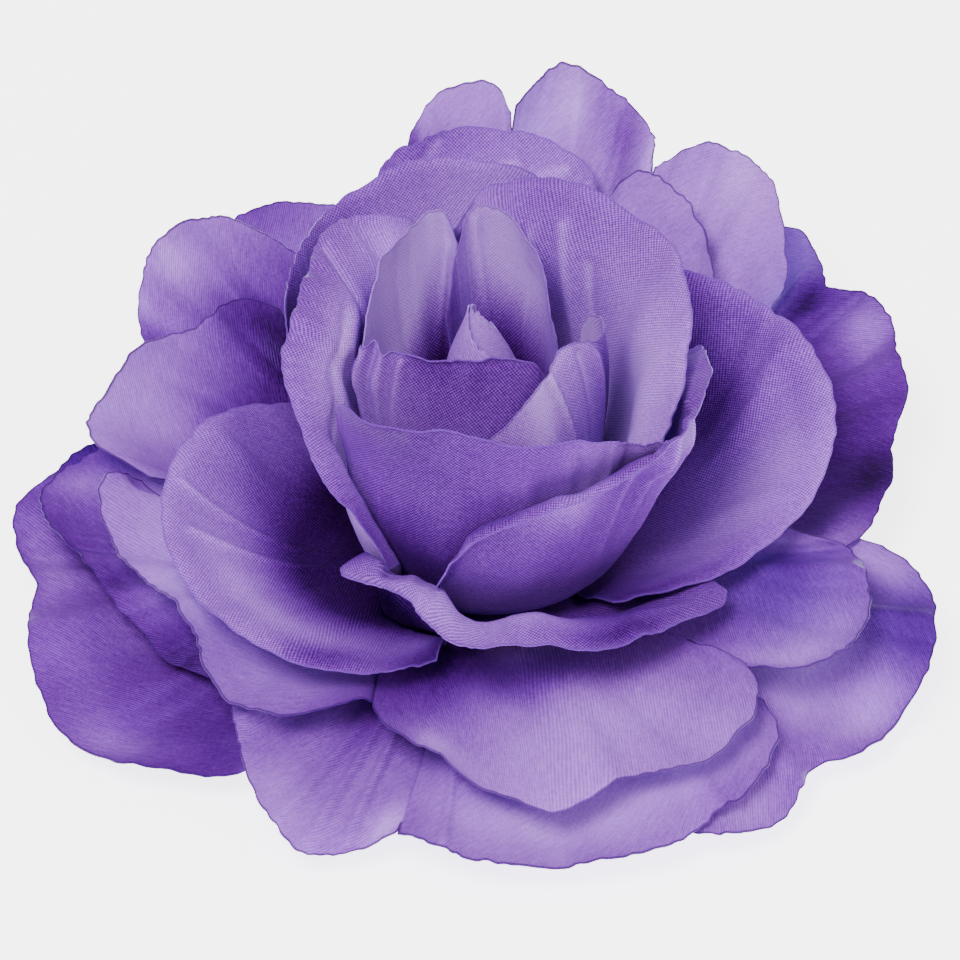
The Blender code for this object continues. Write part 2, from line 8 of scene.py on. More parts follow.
import bpy
import numpy as np
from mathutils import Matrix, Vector


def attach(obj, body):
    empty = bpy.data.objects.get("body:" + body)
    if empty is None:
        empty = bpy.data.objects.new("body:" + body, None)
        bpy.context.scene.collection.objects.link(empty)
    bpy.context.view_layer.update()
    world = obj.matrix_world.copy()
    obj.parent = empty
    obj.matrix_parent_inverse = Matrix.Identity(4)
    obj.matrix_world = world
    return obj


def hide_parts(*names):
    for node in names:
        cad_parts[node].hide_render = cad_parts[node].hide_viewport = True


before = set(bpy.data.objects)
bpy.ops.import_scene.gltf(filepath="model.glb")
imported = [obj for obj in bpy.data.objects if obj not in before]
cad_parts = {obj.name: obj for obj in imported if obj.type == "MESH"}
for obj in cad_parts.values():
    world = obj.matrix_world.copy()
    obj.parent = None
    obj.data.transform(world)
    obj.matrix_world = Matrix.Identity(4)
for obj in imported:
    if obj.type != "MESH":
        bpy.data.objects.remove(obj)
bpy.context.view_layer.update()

MM = 0.001
TURN = 2 * math.pi

# ---------------------------------------------------------------- sizes shared with the solids
SHEET = 0.18           # thickness of the stiffened cloth
HUB_RADIUS = 6.0       # uncut middle of every petal layer
HUB_FIRST = 3.0        # height of the lowest layer's middle
HUB_STEP = 1.6         # from one layer's middle to the next
LAYERS = ("guard_petals", "skirt_petals", "collar_petals", "bowl_petals", "wrap_petals",
          "cup_petals", "heart_petals")
SEAT = 0.3             # gap between pieces that touch
PIN_RADIUS = 1.2
BUD_SHAPE = ((13.1, 2.6), (15.0, 3.6), (18.5, 4.6), (23.0, 5.0), (27.5, 4.6), (31.0, 3.6),
             (34.0, 2.3))       # height and radius of the foam bud, foot to top
WRAP_FOOT = 15.5       # the rolled fabric's lower edge
WRAP_TIP = 42.0        # and its highest point
WRAP_TIP_RADIUS = 0.45
WRAP_TURNS = 1.55
WRAP_PITCH = 1.1       # from one turn of the roll to the next
WRAP_PITCH_TIP = 0.3   # and at its tip, where it is rolled tighter
WRAP_DROP = 5.5        # how much lower the roll's top edge is on the side away from its tip
WRAP_APEX = 165.0      # azimuth of the tip
WRAP_END = -70.0       # azimuth of the roll's outer edge
BUD_HOLLOW = 34.5      # the roll is empty above this height
BUD_UPRIGHT, BUD_LEANT = 24.0, 48.0    # heights between which the bud bends over
BUD_LEAN = (-1.8, 1.6)    # how far it would lean off the axis at the upper one

# ---------------------------------------------------------------- how petals are laid
POLE = 6.0             # height on the axis that a petal's elevation is measured from
CLEAR = 1.15           # from the middle of one sheet to the middle of the next
SOFT = 0.8             # how gently a petal gives way to the one inside it
SLIT = 5.0             # cut between two neighbouring petals at the hub, degrees
LEAVE, FREE = 1.5, 11.0   # past the hub: where a petal starts to lift, where it is free
RELAX = 9.0            # past an edge, how soon the sheet below may rise again
FADE = 0.35            # and by how much, in radians
FORGOTTEN = 2.5        # past this many times RELAX a petal sets no limit
NO_LIMIT = 9.0         # an elevation that no petal reaches, in radians
STRAIGHT = 1.0         # past the hub: as far as every petal runs straight out
GIVING = 3.0           # from there, within how much it starts to give way to others
PARTING = 5.0          # and two petals of one layer get their full clearance
TURNING = ((0.75, 13.0), (0.25, 30.0))   # shares of its turn from root to rim, and where done
MATES_FAR = 20.0       # past the hub: where petals of one layer relax as those of others do
SEAM_FADE = 0.12       # share of its length over which two joined petals part
AZIMUTHS = np.arange(0.0, 360.0, 1.0)
REACHES = np.arange(5.0, 66.0, 0.5)

# elevation in which each layer leaves its hub, outermost layer first
START = (2.0, 6.0, 10.0, 13.0, 17.0, 21.0, 42.0)
STEEP = (0.12, 0.52, 0.84)       # a wall that turns up early, as in the cup
EVEN = (0.25, 0.52, 0.78)        # a steady rise from hub to rim
HOLLOW = (0.08, 0.36, 0.74)      # a bowl that stays low and then climbs
OPENED = (0.45, 0.90, 1.12)      # a wall that turns up at once and opens out at the rim
BACKED = (0.40, 0.80, 1.03)      # the cup's back wall, upright
WRAPPED = (0.30, 0.78, 1.04)     # a wall that leans on the cup
FLARED = (0.0, 0.0, 0.0, 0.0, 0.0, 0.0, 0.08, 0.70, 1.28, 1.30, 1.18)   # a short turned-out wall


def petal(layer, rim, dye_and_painted_light, rise=EVEN, **rest):
    """One petal: its rim runs counter-clockwise through (azimuth, radius, height) points.

    rise is the share of the rim's elevation reached at equal steps from hub to rim, and joined
    how far up the petal its last edge stays uncut from the next one.  Across a petal goes from
    -1 to 1 and up from 0 at the root to 1 at the rim.  roll is a rim rolled outwards: its width,
    its radius, and from where to where across.  The rest is in hundredths.  dye_and_painted_light
    is its lightness at the root, one third and two thirds up and at the rim, how much that changes
    to both sides, and from one side to the other: partly the cloth's dyeing, partly painted shade
    in the hollows and painted light on faces deep in the flower.  blotches
    make it lighter or darker, as uneven dyeing, painted satin highlights and painted shadows, and
    blues bluer: across, up, half widths across and up, how much.  folds are pressed in: across and
    up of both ends, half width and height in mm, positive towards the bud.
    """
    return {"layer": layer, "rim": rim, "dye_and_painted_light": dye_and_painted_light, "rise": rise, "joined": 0.0, "roll": None,
            "blotches": (), "blues": (), "folds": (), **rest}


# listed from the bud outwards; a petal lies outside every petal above it in this table
# the lightness numbers and blotches below hold painted light and shade besides the dyeing: darker roots are
# painted shade in the hollows, lighter faces deep in the cup are painted light, and some blotches are
# painted satin highlights and painted shadows
PETALS = {
    # four small petals round the bud
    "heart_right_back": petal(7, [(30, 9, 27), (41, 9.5, 30.8), (55, 11, 36), (65, 13, 39.8),
        (77, 15, 41.4), (86, 16.5, 42.2), (93, 17, 42.3), (97.5, 16.6, 41.6), (101, 15.8, 39.8),
        (105, 14.5, 37.5), (109, 13.2, 34.6), (114, 12.5, 31)], dye_and_painted_light=(20, 14, 82, 100, -29, -7),
        blotches=[(0, 95, 35, 20, 15), (-10, 72, 30, 15, 12), (-10, 82, 40, 15, 25), (15, 45, 40, 20, -40),
        (85, 92, 20, 20, -25)], folds=[(25, 95, 20, 50, 90, 25), (-20, 85, -10, 50, 80, -20)]),
    "heart_left_back": petal(7, [(84, 12.5, 30), (91, 13.2, 34), (98, 14.6, 37), (102.5, 16, 38.8),
        (106, 17.8, 41.1), (111, 18, 41.9), (120, 17.2, 41.7), (128, 16.4, 41.6), (138, 15.5, 41.2),
        (149, 14.5, 39.8), (160, 14, 38), (169, 13.8, 36), (177, 13.6, 33)],
        dye_and_painted_light=(32, 22, 116, 130, -14, 36), blotches=[(45, 70, 30, 30, 25), (-50, 50, 40, 35, -25),
        (30, 78, 35, 25, 50), (-20, 50, 30, 20, -40), (25, 92, 25, 15, 25)],
        folds=[(-35, 90, -20, 50, 90, 30), (15, 95, 10, 55, 100, -25)]),
    "heart_front": petal(7, [(-178, 13.8, 36), (-175, 13.8, 39.4), (-166, 11.5, 40.2), (-148, 8.8, 40.3),
        (-127, 6.8, 41), (-100, 5.9, 41.3), (-78, 5.6, 41.3), (-50, 6.8, 40.4), (-38, 7.8, 38)],
        dye_and_painted_light=(40, 50, 60, 50, 5, -5), roll=(0.6, 0.6, -0.9, 0.9), blotches=[(-55, 75, 35, 30, 18),
        (0, 97, 50, 10, -12)], folds=[(-70, 100, -62, 55, 70, -55), (-50, 100, -44, 50, 60, -50),
        (-33, 97, -30, 55, 55, -35), (-60, 100, -54, 60, 50, 40), (20, 95, 15, 60, 120, -20)]),
    "heart_right": petal(7, [(-102, 9.6, 30.5), (-97, 9.3, 33.5), (-83, 8.8, 35), (-67, 8.7, 37),
        (-50, 8.6, 39), (-33, 8.4, 41.2), (-24, 9.3, 41.7), (-16, 10.4, 41.5), (-7, 11.7, 40.2),
        (3, 12.4, 39.2), (12, 12.4, 39.3), (20, 11.7, 38.6), (26, 11.2, 36.5), (29, 11, 33)],
        dye_and_painted_light=(50, 75, 73, 97, -6, 0), blotches=[(35, 70, 12, 35, -30), (-30, 80, 25, 40, 12),
        (90, 95, 25, 20, 50), (30, 75, 12, 30, -45), (-40, 90, 12, 20, 30), (70, 85, 15, 20, 20)],
        folds=[(-30, 99, -12, 40, 45, -65), (2, 95, 6, 50, 80, 35), (20, 95, 20, 50, 70, -35)]),
    # three tall petals that make the cup
    # cup_back's root and lower face are lightened: painted light where the cup is too deep for light to
    # reach
    "cup_back": petal(6, [(-32, 21.2, 33.5), (-27, 21.5, 35.8), (-20, 21.4, 38.2), (-10, 21.2, 40.2),
        (0, 21.3, 41.2), (15, 21.7, 42), (38, 22.6, 42.5), (76, 22, 42.5), (93, 20, 41.5), (104, 17, 39)],
        dye_and_painted_light=(72, 124, 103, 78, 0, -14), rise=BACKED, roll=(1.6, 2.4, -0.95, 0.9),
        blotches=[(-75, 50, 35, 40, 15), (55, 90, 30, 25, -12), (50, 40, 30, 30, -25),
        (-35, 60, 30, 30, 35), (-20, 40, 20, 15, 50), (90, 85, 20, 20, 30)], folds=[
        (44, 88, 30, 42, 80, 40), (55, 84, 42, 40, 70, 35), (33, 80, 22, 45, 90, -30),
        (-10, 92, -5, 60, 220, 35), (10, 95, 14, 70, 180, -30)]),
    "cup_front": petal(6, [(-153, 18.5, 35.5), (-149, 18.5, 38), (-133, 18.5, 39.6), (-120, 18.4, 41),
        (-106, 17.7, 42), (-92, 17.3, 41.3), (-79, 17.7, 40.4), (-64, 18.6, 40.2), (-53, 20, 39.4),
        (-45, 20.7, 37.8), (-40, 21.4, 37), (-36, 22, 36.6), (-33, 22.2, 35.6), (-30, 22.2, 33)],
        dye_and_painted_light=(42, 53, 51, 34, 22, 22), rise=STEEP, roll=(0.6, 0.7, -0.97, 0.8),
        blotches=[(-30, 50, 20, 30, -12), (95, 90, 35, 40, 28), (-95, 45, 20, 40, 15), (50, 85, 25, 20, 40),
        (30, 65, 30, 15, 35), (-90, 60, 15, 15, 50), (-50, 50, 20, 15, -30)],
        folds=[(-45, 95, -30, 40, 130, -22), (-20, 90, -10, 40, 120, 20), (5, 95, 6, 40, 120, -24),
        (30, 90, 25, 40, 120, 20), (50, 95, 40, 45, 100, -20)]),
    "cup_left": petal(6, [(112, 20.3, 38), (118, 20.6, 40), (133, 23.6, 41), (144, 23.2, 41.3),
        (153, 21.7, 41.2), (163, 21, 41.1), (172, 20.8, 40.7), (180, 21.6, 39.6), (187, 22.4, 38.6),
        (199, 22.2, 36.2), (213, 22, 32.4), (220, 22, 30.2), (226, 21.4, 28), (235, 20.5, 23),
        (239, 19.6, 20)], dye_and_painted_light=(50, 76, 105, 58, 2, -5), rise=OPENED, roll=(2.2, 2.6, -0.9, 0.9),
        blotches=[(85, 95, 30, 30, -35), (50, 60, 40, 25, 20), (-40, 80, 30, 20, -8), (-20, 82, 25, 8, 35),
        (85, 75, 25, 25, 40), (30, 50, 12, 20, 40), (-28, 68, 15, 12, -60), (-45, 70, 12, 12, -25),
        (-85, 90, 15, 12, 25)], folds=[(-55, 97, -28, 66, 80, -45), (-30, 84, 42, 80, 80, -50),
        (-10, 100, -6, 86, 160, 50), (35, 100, 32, 88, 150, -30), (-75, 95, -70, 60, 120, -30)]),
    # wraps against the cup
    # wrap_front's lighter blotches towards its right end paint light into the narrow gap between its wing
    # and the cup
    "wrap_front": petal(5, [(-102, 20, 20), (-100.5, 20.3, 23), (-99, 20.4, 25.5), (-96, 20.6, 28.6),
        (-88, 20.6, 31), (-72, 21, 33.4), (-59, 22, 34.8), (-48, 23.6, 37.3), (-35, 24.6, 38.6),
        (-20, 24.3, 39.1), (-12, 23.9, 38.9), (-4, 23.4, 38.2), (2, 22.9, 37), (7, 22.3, 35), (9, 22, 33)],
        dye_and_painted_light=(40, 58, 41, 48, 34, 0), rise=WRAPPED, roll=(1.2, 0.9, -0.88, 0.45),
        blotches=[(45, 75, 25, 30, 35), (85, 80, 30, 40, 42), (-70, 40, 30, 40, 10), (-80, 88, 25, 12, -35),
        (-20, 88, 15, 15, 40), (70, 95, 30, 8, -25)], folds=[(12, 98, -2, 50, 70, -45),
        (22, 98, 10, 50, 60, -40), (32, 96, 22, 50, 70, -35), (-25, 96, -20, 50, 140, 25)]),
    "wrap_back": petal(5, [(72, 28, 33), (84, 29.5, 37), (96, 29.5, 38), (110, 29.8, 38), (125, 29.8, 36),
        (138, 27.6, 35.2), (146, 26.3, 34.6), (153, 25, 33.2), (159, 24, 30.5), (163, 23, 26)],
        dye_and_painted_light=(40, 58, 82, 65, -33, -16), roll=(1.4, 2.0, -0.9, 0.9), blotches=[(-80, 90, 40, 30, 25),
        (80, 90, 40, 30, -25), (60, 94, 30, 10, -30)]),
    # wide bowls
    "bowl_right": petal(4, [(-50, 20, 13.5), (-36, 24.5, 15), (-22, 29, 16.5), (-8, 35, 21), (6, 37, 26),
        (20, 35, 29), (34, 31.5, 30.5), (44, 27, 31), (50, 22, 31)], dye_and_painted_light=(20, 42, 57, 90, -47, -16),
        rise=HOLLOW, roll=(3.6, 5.0, -0.9, 0.95), blotches=[(-90, 95, 30, 30, -25), (-10, 62, 50, 22, 25),
        (90, 95, 25, 30, -10), (-60, 95, 40, 7, -30), (30, 94, 40, 7, -20), (40, 65, 25, 15, -30),
        (-20, 72, 30, 15, 20), (40, 30, 20, 15, -40)], folds=[(28, 92, 12, 55, 160, 60),
        (45, 95, 30, 50, 150, -50), (-25, 95, -20, 60, 250, 35)]),
    # bowl_collar's left wall is darkened: painted shade in the hollow beside bowl_left
    "bowl_collar": petal(4, [(-141, 19.5, 17), (-138.5, 22, 19.2), (-134, 23.8, 20.1), (-125, 23, 20.2),
        (-117, 22.8, 20), (-108, 24.7, 19.4), (-99, 26.7, 18.6), (-92, 26.8, 18), (-79, 25.8, 17.8),
        (-68, 28.3, 17.6), (-60, 28.3, 17.2), (-52, 28.6, 16.8), (-43, 28.6, 16.2), (-36, 29.8, 15.5),
        (-30, 29.7, 15), (-27, 27.6, 15)], dye_and_painted_light=(32, 36, 56, 68, -5, -10), rise=FLARED,
        blotches=[(-30, 88, 25, 12, 30), (-72, 50, 25, 20, -70), (42, 75, 22, 12, -55),
        (-90, 95, 20, 30, -10), (45, 97, 20, 8, -12), (-95, 88, 12, 15, -50), (-25, 68, 25, 10, 45),
        (20, 81, 25, 8, 30), (40, 94, 25, 5, -25)], folds=[(-45, 98, -42, 80, 120, 35),
        (5, 100, 5, 82, 200, -40), (45, 100, 45, 85, 180, 35)]),
    # bowl_left's root is painted nearly black: the shade of the deep hollow
    "bowl_left": petal(4, [(160, 22, 22), (172, 28, 24.5), (181, 32.5, 25), (190, 36, 23.5), (206, 37, 20),
        (220, 36, 18), (240, 31, 15.5), (251, 27.5, 14), (258, 24.5, 13.5)], dye_and_painted_light=(2, -12, 57, 80, -31, -8),
        rise=HOLLOW, roll=(2.2, 4.0, -0.9, 0.95), blotches=[(90, 95, 25, 30, -35), (0, 72, 40, 15, 10),
        (40, 35, 50, 25, -25), (50, 95, 12, 8, -35), (85, 75, 20, 20, 40), (15, 82, 30, 8, 25),
        (10, 52, 50, 12, -20)], folds=[(-32, 95, -10, 35, 50, 28), (-15, 90, 2, 35, 60, 30),
        (12, 95, 10, 50, 250, -40), (-60, 95, -50, 60, 200, 40)]),
    "bowl_back": petal(4, [(71, 36, 25), (74, 41, 27.5), (82, 43.5, 29.5), (95, 44, 30), (103, 43, 28.6),
        (108, 41.5, 26.8), (110, 38, 24)], dye_and_painted_light=(50, 68, 79, 65, 0, -11), blotches=[(-40, 90, 40, 30, 10),
        (50, 90, 40, 30, -10)], folds=[(-50, 95, 10, 75, 90, 45), (-20, 92, 40, 80, 80, 40),
        (20, 98, 60, 85, 80, -30)]),
    # collar of opened petals
    "collar_front": petal(3, [(-118, 26, 11), (-113, 31.5, 11), (-106, 34, 11), (-100, 35.5, 10.8),
        (-89, 39.8, 10.4), (-80, 42, 10), (-73.5, 41.4, 10.4), (-67, 41.5, 10.6), (-58, 42.3, 11),
        (-48, 41.7, 12), (-42.5, 39.4, 12), (-39, 35, 12)], dye_and_painted_light=(36, 60, 84, 94, -35, 6), joined=0.75,
        blotches=[(-85, 80, 35, 50, -25), (20, 72, 35, 16, 12), (-50, 95, 12, 8, 30),
        (-60, 60, 25, 20, -35), (0, 48, 60, 10, -25), (-10, 30, 60, 10, 25)],
        folds=[(-35, 95, -20, 45, 300, -70), (15, 98, 10, 50, 250, 60), (50, 98, 40, 60, 220, -60)]),
    "collar_right": petal(3, [(-39, 36, 12), (-37, 40, 12), (-29, 44, 13), (-18, 43.5, 13), (-10, 40, 13.5),
        (-7, 33, 14)], dye_and_painted_light=(39, 67, 59, 68, 7, 0), blotches=[(-10, 90, 25, 12, 18), (15, 72, 40, 15, -10),
        (75, 92, 30, 20, -18), (-50, 92, 30, 12, 30), (80, 80, 20, 20, 45), (35, 75, 20, 10, -20),
        (50, 60, 20, 15, 30)], blues=[(20, 70, 60, 25, 100)], folds=[(35, 96, 25, 60, 160, 90),
        (-10, 95, -5, 50, 220, -60), (62, 95, 50, 70, 120, -60)]),
    "collar_back": petal(3, [(42, 33, 20), (49, 38, 23.5), (59, 43, 26), (68, 43.5, 26.5), (71, 39, 24)],
        dye_and_painted_light=(60, 71, 70, 90, -12, 0)),
    "collar_left_back": petal(3, [(139, 31, 24), (143, 35, 25), (146, 36.6, 24.2), (150, 38.2, 22.5),
        (155, 41.9, 21.5), (162, 44.4, 19.5), (168, 45.2, 18), (173, 44, 17.5), (177, 38, 16)],
        dye_and_painted_light=(5, 18, 56, 94, -33, 21), blotches=[(-75, 75, 40, 40, -35), (30, 85, 30, 25, 15),
        (0, 60, 30, 15, -40)], folds=[(-45, 98, -40, 55, 220, 100), (-5, 95, -5, 50, 250, -60)]),
    "collar_left": petal(3, [(179, 38, 17.5), (181, 43, 18.5), (187, 42.5, 16), (195, 40.7, 15),
        (203, 38.7, 14.2), (211, 37.9, 13.7), (219, 39.2, 12.7), (227, 39, 11.5), (236, 36.5, 11.5),
        (243, 31.5, 11.5), (248, 26.5, 11.5)], dye_and_painted_light=(45, 70, 96, 83, -20, -4),
        blotches=[(-60, 75, 30, 25, 20), (90, 90, 35, 30, -25), (20, 95, 40, 10, -5), (-20, 95, 20, 8, 30)],
        folds=[(-50, 97, -35, 60, 200, -70), (-15, 98, -10, 60, 180, 70), (30, 98, 25, 60, 240, -50)]),
    # skirt
    "skirt_right_back": petal(2, [(36, 38, 18), (43, 46, 21.5), (53, 51.5, 25.5), (61, 51, 27),
        (66, 46, 25.5)], dye_and_painted_light=(60, 78, 90, 96, -12, 4), blotches=[(-90, 95, 12, 10, 30),
        (20, 93, 30, 10, 20)], blues=[(-80, 90, 30, 30, 100)], folds=[(0, 95, 0, 50, 260, 80),
        (45, 95, 35, 60, 160, -60)]),
    "skirt_back_right": petal(2, [(66, 42, 24), (68, 49, 28), (74, 51.5, 31), (81, 52, 33),
        (86.5, 47.5, 30)], dye_and_painted_light=(60, 78, 90, 86, 12, 6), joined=0.9, blotches=[(10, 97, 15, 12, -15),
        (60, 90, 30, 20, 10), (-65, 95, 20, 15, 45), (-20, 93, 15, 10, -30), (30, 95, 15, 8, 30)],
        blues=[(90, 70, 30, 30, 100)], folds=[(-20, 96, -15, 60, 180, 70), (30, 96, 25, 60, 160, -60)]),
    "skirt_back_left": petal(2, [(87, 47.5, 30), (90, 50.5, 31), (96, 50.5, 30.5), (100.5, 47, 28),
        (103, 42, 26)], dye_and_painted_light=(70, 86, 84, 100, -19, -8), blotches=[(60, 94, 20, 10, -45)]),
    "skirt_left_back": petal(2, [(124, 36, 22), (129, 42.5, 24.5), (133, 47.5, 25), (137, 49.8, 23),
        (142, 49.3, 20.5), (147, 47.5, 15.5), (150, 42, 13)], dye_and_painted_light=(25, 43, 47, 85, -29, -6),
        blotches=[(-80, 85, 30, 30, -15), (0, 90, 30, 15, 12), (10, 94, 15, 8, 30), (70, 94, 15, 10, -35),
        (-20, 68, 30, 12, -30)], folds=[(-10, 95, -10, 50, 260, -90), (40, 95, 30, 60, 200, 70)]),
    "skirt_left": petal(2, [(163, 40, 13), (169, 46, 14), (177, 49.3, 13.5), (182, 49, 12),
        (185, 46.2, 11.5), (190, 43.8, 11), (197, 42, 9.8), (206, 40, 8.7), (214, 37, 8)],
        dye_and_painted_light=(44, 55, 65, 35, -7, -6), blotches=[(50, 70, 40, 20, 35), (30, 95, 30, 10, 12),
        (-50, 94, 12, 8, 30), (30, 95, 12, 8, -30), (40, 80, 20, 10, 25), (80, 82, 20, 15, -30),
        (-60, 68, 20, 12, 50)], folds=[(0, 97, 10, 60, 150, -80), (40, 97, 35, 60, 130, 60)]),
    "skirt_front_left": petal(2, [(-142, 33, 9), (-136, 38.8, 9), (-130, 41.8, 8), (-122, 45.5, 6),
        (-115, 47.5, 4.5), (-109, 45.3, 4.5), (-103.6, 42, 5)], dye_and_painted_light=(35, 51, 73, 83, -4, 0), joined=0.97,
        blotches=[(-60, 80, 50, 30, -22), (10, 95, 40, 12, 10), (-50, 82, 12, 10, 30), (90, 95, 15, 8, 40),
        (30, 52, 25, 15, -30), (-20, 45, 15, 12, 30)], folds=[(15, 98, 25, 50, 90, 55),
        (38, 96, 42, 50, 80, 50), (62, 95, 60, 45, 80, 50), (-30, 95, -20, 50, 250, -70)]),
    "skirt_front": petal(2, [(-103.4, 42, 5), (-97, 44, 5), (-90, 45.6, 5), (-75.4, 46.4, 5),
        (-62, 46.6, 5.5), (-54.6, 46, 6.5), (-44.8, 43.6, 8.5), (-40, 38.5, 9)],
        dye_and_painted_light=(50, 71, 101, 78, -11, 0), blotches=[(40, 70, 30, 20, 22), (45, 95, 20, 10, -15),
        (60, 80, 30, 10, 35), (30, 68, 12, 12, 50), (-75, 70, 30, 10, -30), (-20, 85, 30, 10, 20),
        (-80, 55, 20, 10, 45)], folds=[(-75, 97, -72, 50, 80, 50), (-30, 98, -20, 60, 300, -60),
        (35, 98, 30, 60, 260, 50)]),
    # guard petals, nearly flat
    "guard_right_back": petal(1, [(-6, 36, 8), (0, 41.5, 9), (5, 43.5, 9.5), (11, 46.1, 10),
        (17, 47.6, 11.5), (22.3, 51.1, 13), (27.5, 51.7, 14), (32, 53.2, 15), (37, 53, 16), (40, 51, 16),
        (43, 52, 17), (50, 54, 17), (56, 48, 16)], dye_and_painted_light=(15, 21, 30, 40, 17, 0),
        blotches=[(85, 70, 30, 40, 45), (-45, 90, 30, 30, -12), (10, 90, 20, 15, 12), (70, 82, 12, 12, 45),
        (20, 94, 15, 7, 35), (-50, 94, 10, 7, -30), (-85, 94, 15, 7, 30), (10, 65, 30, 15, -35),
        (50, 93, 8, 7, -40)], blues=[(70, 90, 30, 30, 100)], folds=[(-35, 97, -30, 50, 250, -90),
        (-2, 97, 0, 50, 220, 110), (35, 97, 30, 50, 200, -90), (60, 95, 50, 60, 120, 90)]),
    "guard_back": petal(1, [(107, 38, 20), (112, 44.5, 20.5), (118.5, 48.5, 19.5), (125, 51, 17.5),
        (131, 50, 16), (137, 45, 13)], dye_and_painted_light=(55, 71, 92, 64, -4, -18), blotches=[(60, 85, 30, 20, -30)]),
    "guard_left": petal(1, [(163, 40, 12), (168, 45.8, 14), (173, 49, 12.5), (177.5, 53, 10.5),
        (183, 51.5, 7.5), (187, 50, 6.2), (192, 51.8, 5), (201, 53.3, 4), (209, 53, 4), (217, 50, 4),
        (224, 45.5, 4), (229, 42.5, 4), (231, 38, 4)], dye_and_painted_light=(22, 32, 42, 46, -12, 0),
        blotches=[(-85, 95, 20, 20, -12), (0, 65, 25, 20, 15), (80, 90, 30, 30, -12), (-30, 94, 20, 7, 30),
        (45, 94, 15, 7, 30), (95, 85, 12, 15, 60), (-90, 94, 10, 7, -30)], blues=[(-80, 95, 20, 20, 100)],
        folds=[(-62, 98, -55, 50, 140, 110), (-35, 97, -30, 50, 220, -100), (0, 98, 0, 50, 300, 100),
        (45, 98, 40, 50, 260, -70)]),
    "guard_front": petal(1, [(244, 34, 4), (251, 38, 3.5), (264, 39.5, 3.5), (277, 38.5, 3.5),
        (284, 33, 4)], dye_and_painted_light=(50, 60, 68, 70, 0, 0)),
    "guard_right": petal(1, [(-66, 42, 4), (-62, 45.8, 4), (-56, 48.4, 4), (-48.8, 48.8, 4), (-41, 47, 4.6),
        (-34.5, 49.8, 5), (-21, 51.3, 6), (-12, 50.4, 7.3), (-4, 46, 7.8), (3, 38, 7)],
        dye_and_painted_light=(55, 87, 90, 64, 1, 10), blotches=[(10, 72, 30, 15, 20), (42, 93, 16, 13, -45),
        (90, 85, 30, 30, 10), (-60, 90, 20, 15, 30), (10, 94, 12, 6, 30), (70, 94, 15, 7, 20),
        (70, 82, 20, 7, -30), (30, 69, 15, 10, 35), (-15, 62, 15, 15, -30)], blues=[(42, 95, 20, 20, 100)],
        folds=[(-30, 97, -25, 50, 240, 70), (10, 98, 10, 50, 260, -80), (45, 97, 40, 50, 180, 90)]),
}

# ---------------------------------------------------------------- cloth in detail
COLUMN_WIDTH = 0.3     # fine facets across a petal, mm
FEWEST, MOST = 60, 170    # columns of any petal
ROWS = 44              # and their number along it, closer together towards the rim
CROWDED = 1.35         # how much closer
FINER = 4              # steps to a row when its place along the cloth is measured
CREASE_ANGLE = 50.0    # faces that meet at more than this are not smoothed over
SCALLOPS = ((9.0, 0.45), (3.5, 0.18))    # waves of the heat-sealed edge, length and size
THREADS = ((1.3, 0.16),)     # and how single threads stand in or out of it
RIPPLE = (1.0, 0.85, 0.8, 0.5, 0.3, 0.3, 0.22)    # soft waves, outermost layer first
RIPPLE_LENGTH = 9.0    # from one soft wave to the next
RIPPLE_GROWTH, RIPPLE_STILL = 1.4, 0.3    # how they grow towards the rim and spare the root
PUCKERS = ((3.6, 0.16),)     # small waves that shaping leaves along the edge
PUCKER_REACH = 5.0     # how far in from the edge they run
SHARP = 1.0            # folds narrower than this are creases, painted paler along their ridge as a highlight
# how much paler a crease's ridge is painted: a painted highlight
PAINTED_RIDGE_HIGHLIGHT = 0.25
RIDGE = 0.6            # share of a crease's width that gets the painted highlight
PRESSED = 1.4          # how much deeper than drawn the folds are pressed
WEAKER = 0.7           # and how much of that is lost at a fold's far end
ROLL_FADE = 2.5        # how soon a rolled rim comes to its full width
TANGENT = 0.6          # length of cloth that sets which way a roll starts, mm
SATIN_LAYERS = 3       # the outer three layers are satin, and get no painted highlight on their creases
PALEST = 1.3           # lightness past which the dye is not thinned
MIDDLE_RINGS = (4.5, 3.0)    # rings of facets in a layer's uncut middle
UNCUT = 5.0            # distance from a cut edge that counts as none
WRAP_FALLS = 0.5       # turns after which its top edge starts to fall, and for how long
WRAP_FACETS = (240, 60)    # of the bud's cloth, along and up
WRAP_LENGTH = 49.5     # of the bud's strip
WRAP_RAGS = ((0.45, 0.3), (1.65, 0.25))    # waves of its ragged top edge, length and size
WRAP_DYE = (0.62, 0.35)    # lightness at its foot, and how much is added at its top
THREAD_SEED, RIPPLE_SEED, PUCKER_SEED, BUD_SEED = 100, 200, 300, 5

for seed, shape in enumerate(PETALS.values()):
    shape["seed"] = seed
UPS = 1.0 - (1.0 - np.linspace(0.0, 1.0, ROWS + 1)) ** CROWDED    # how far along each row is


# ---------------------------------------------------------------- petal geometry
def hub_height(layer):
    """Height of a layer's uncut middle."""
    return HUB_FIRST + HUB_STEP * (layer - 1)


def smooth(x):
    """From 0 to 1 as x goes from 0 to 1, with a soft start and end."""
    x = np.clip(x, 0.0, 1.0)
    return x * x * (3.0 - 2.0 * x)


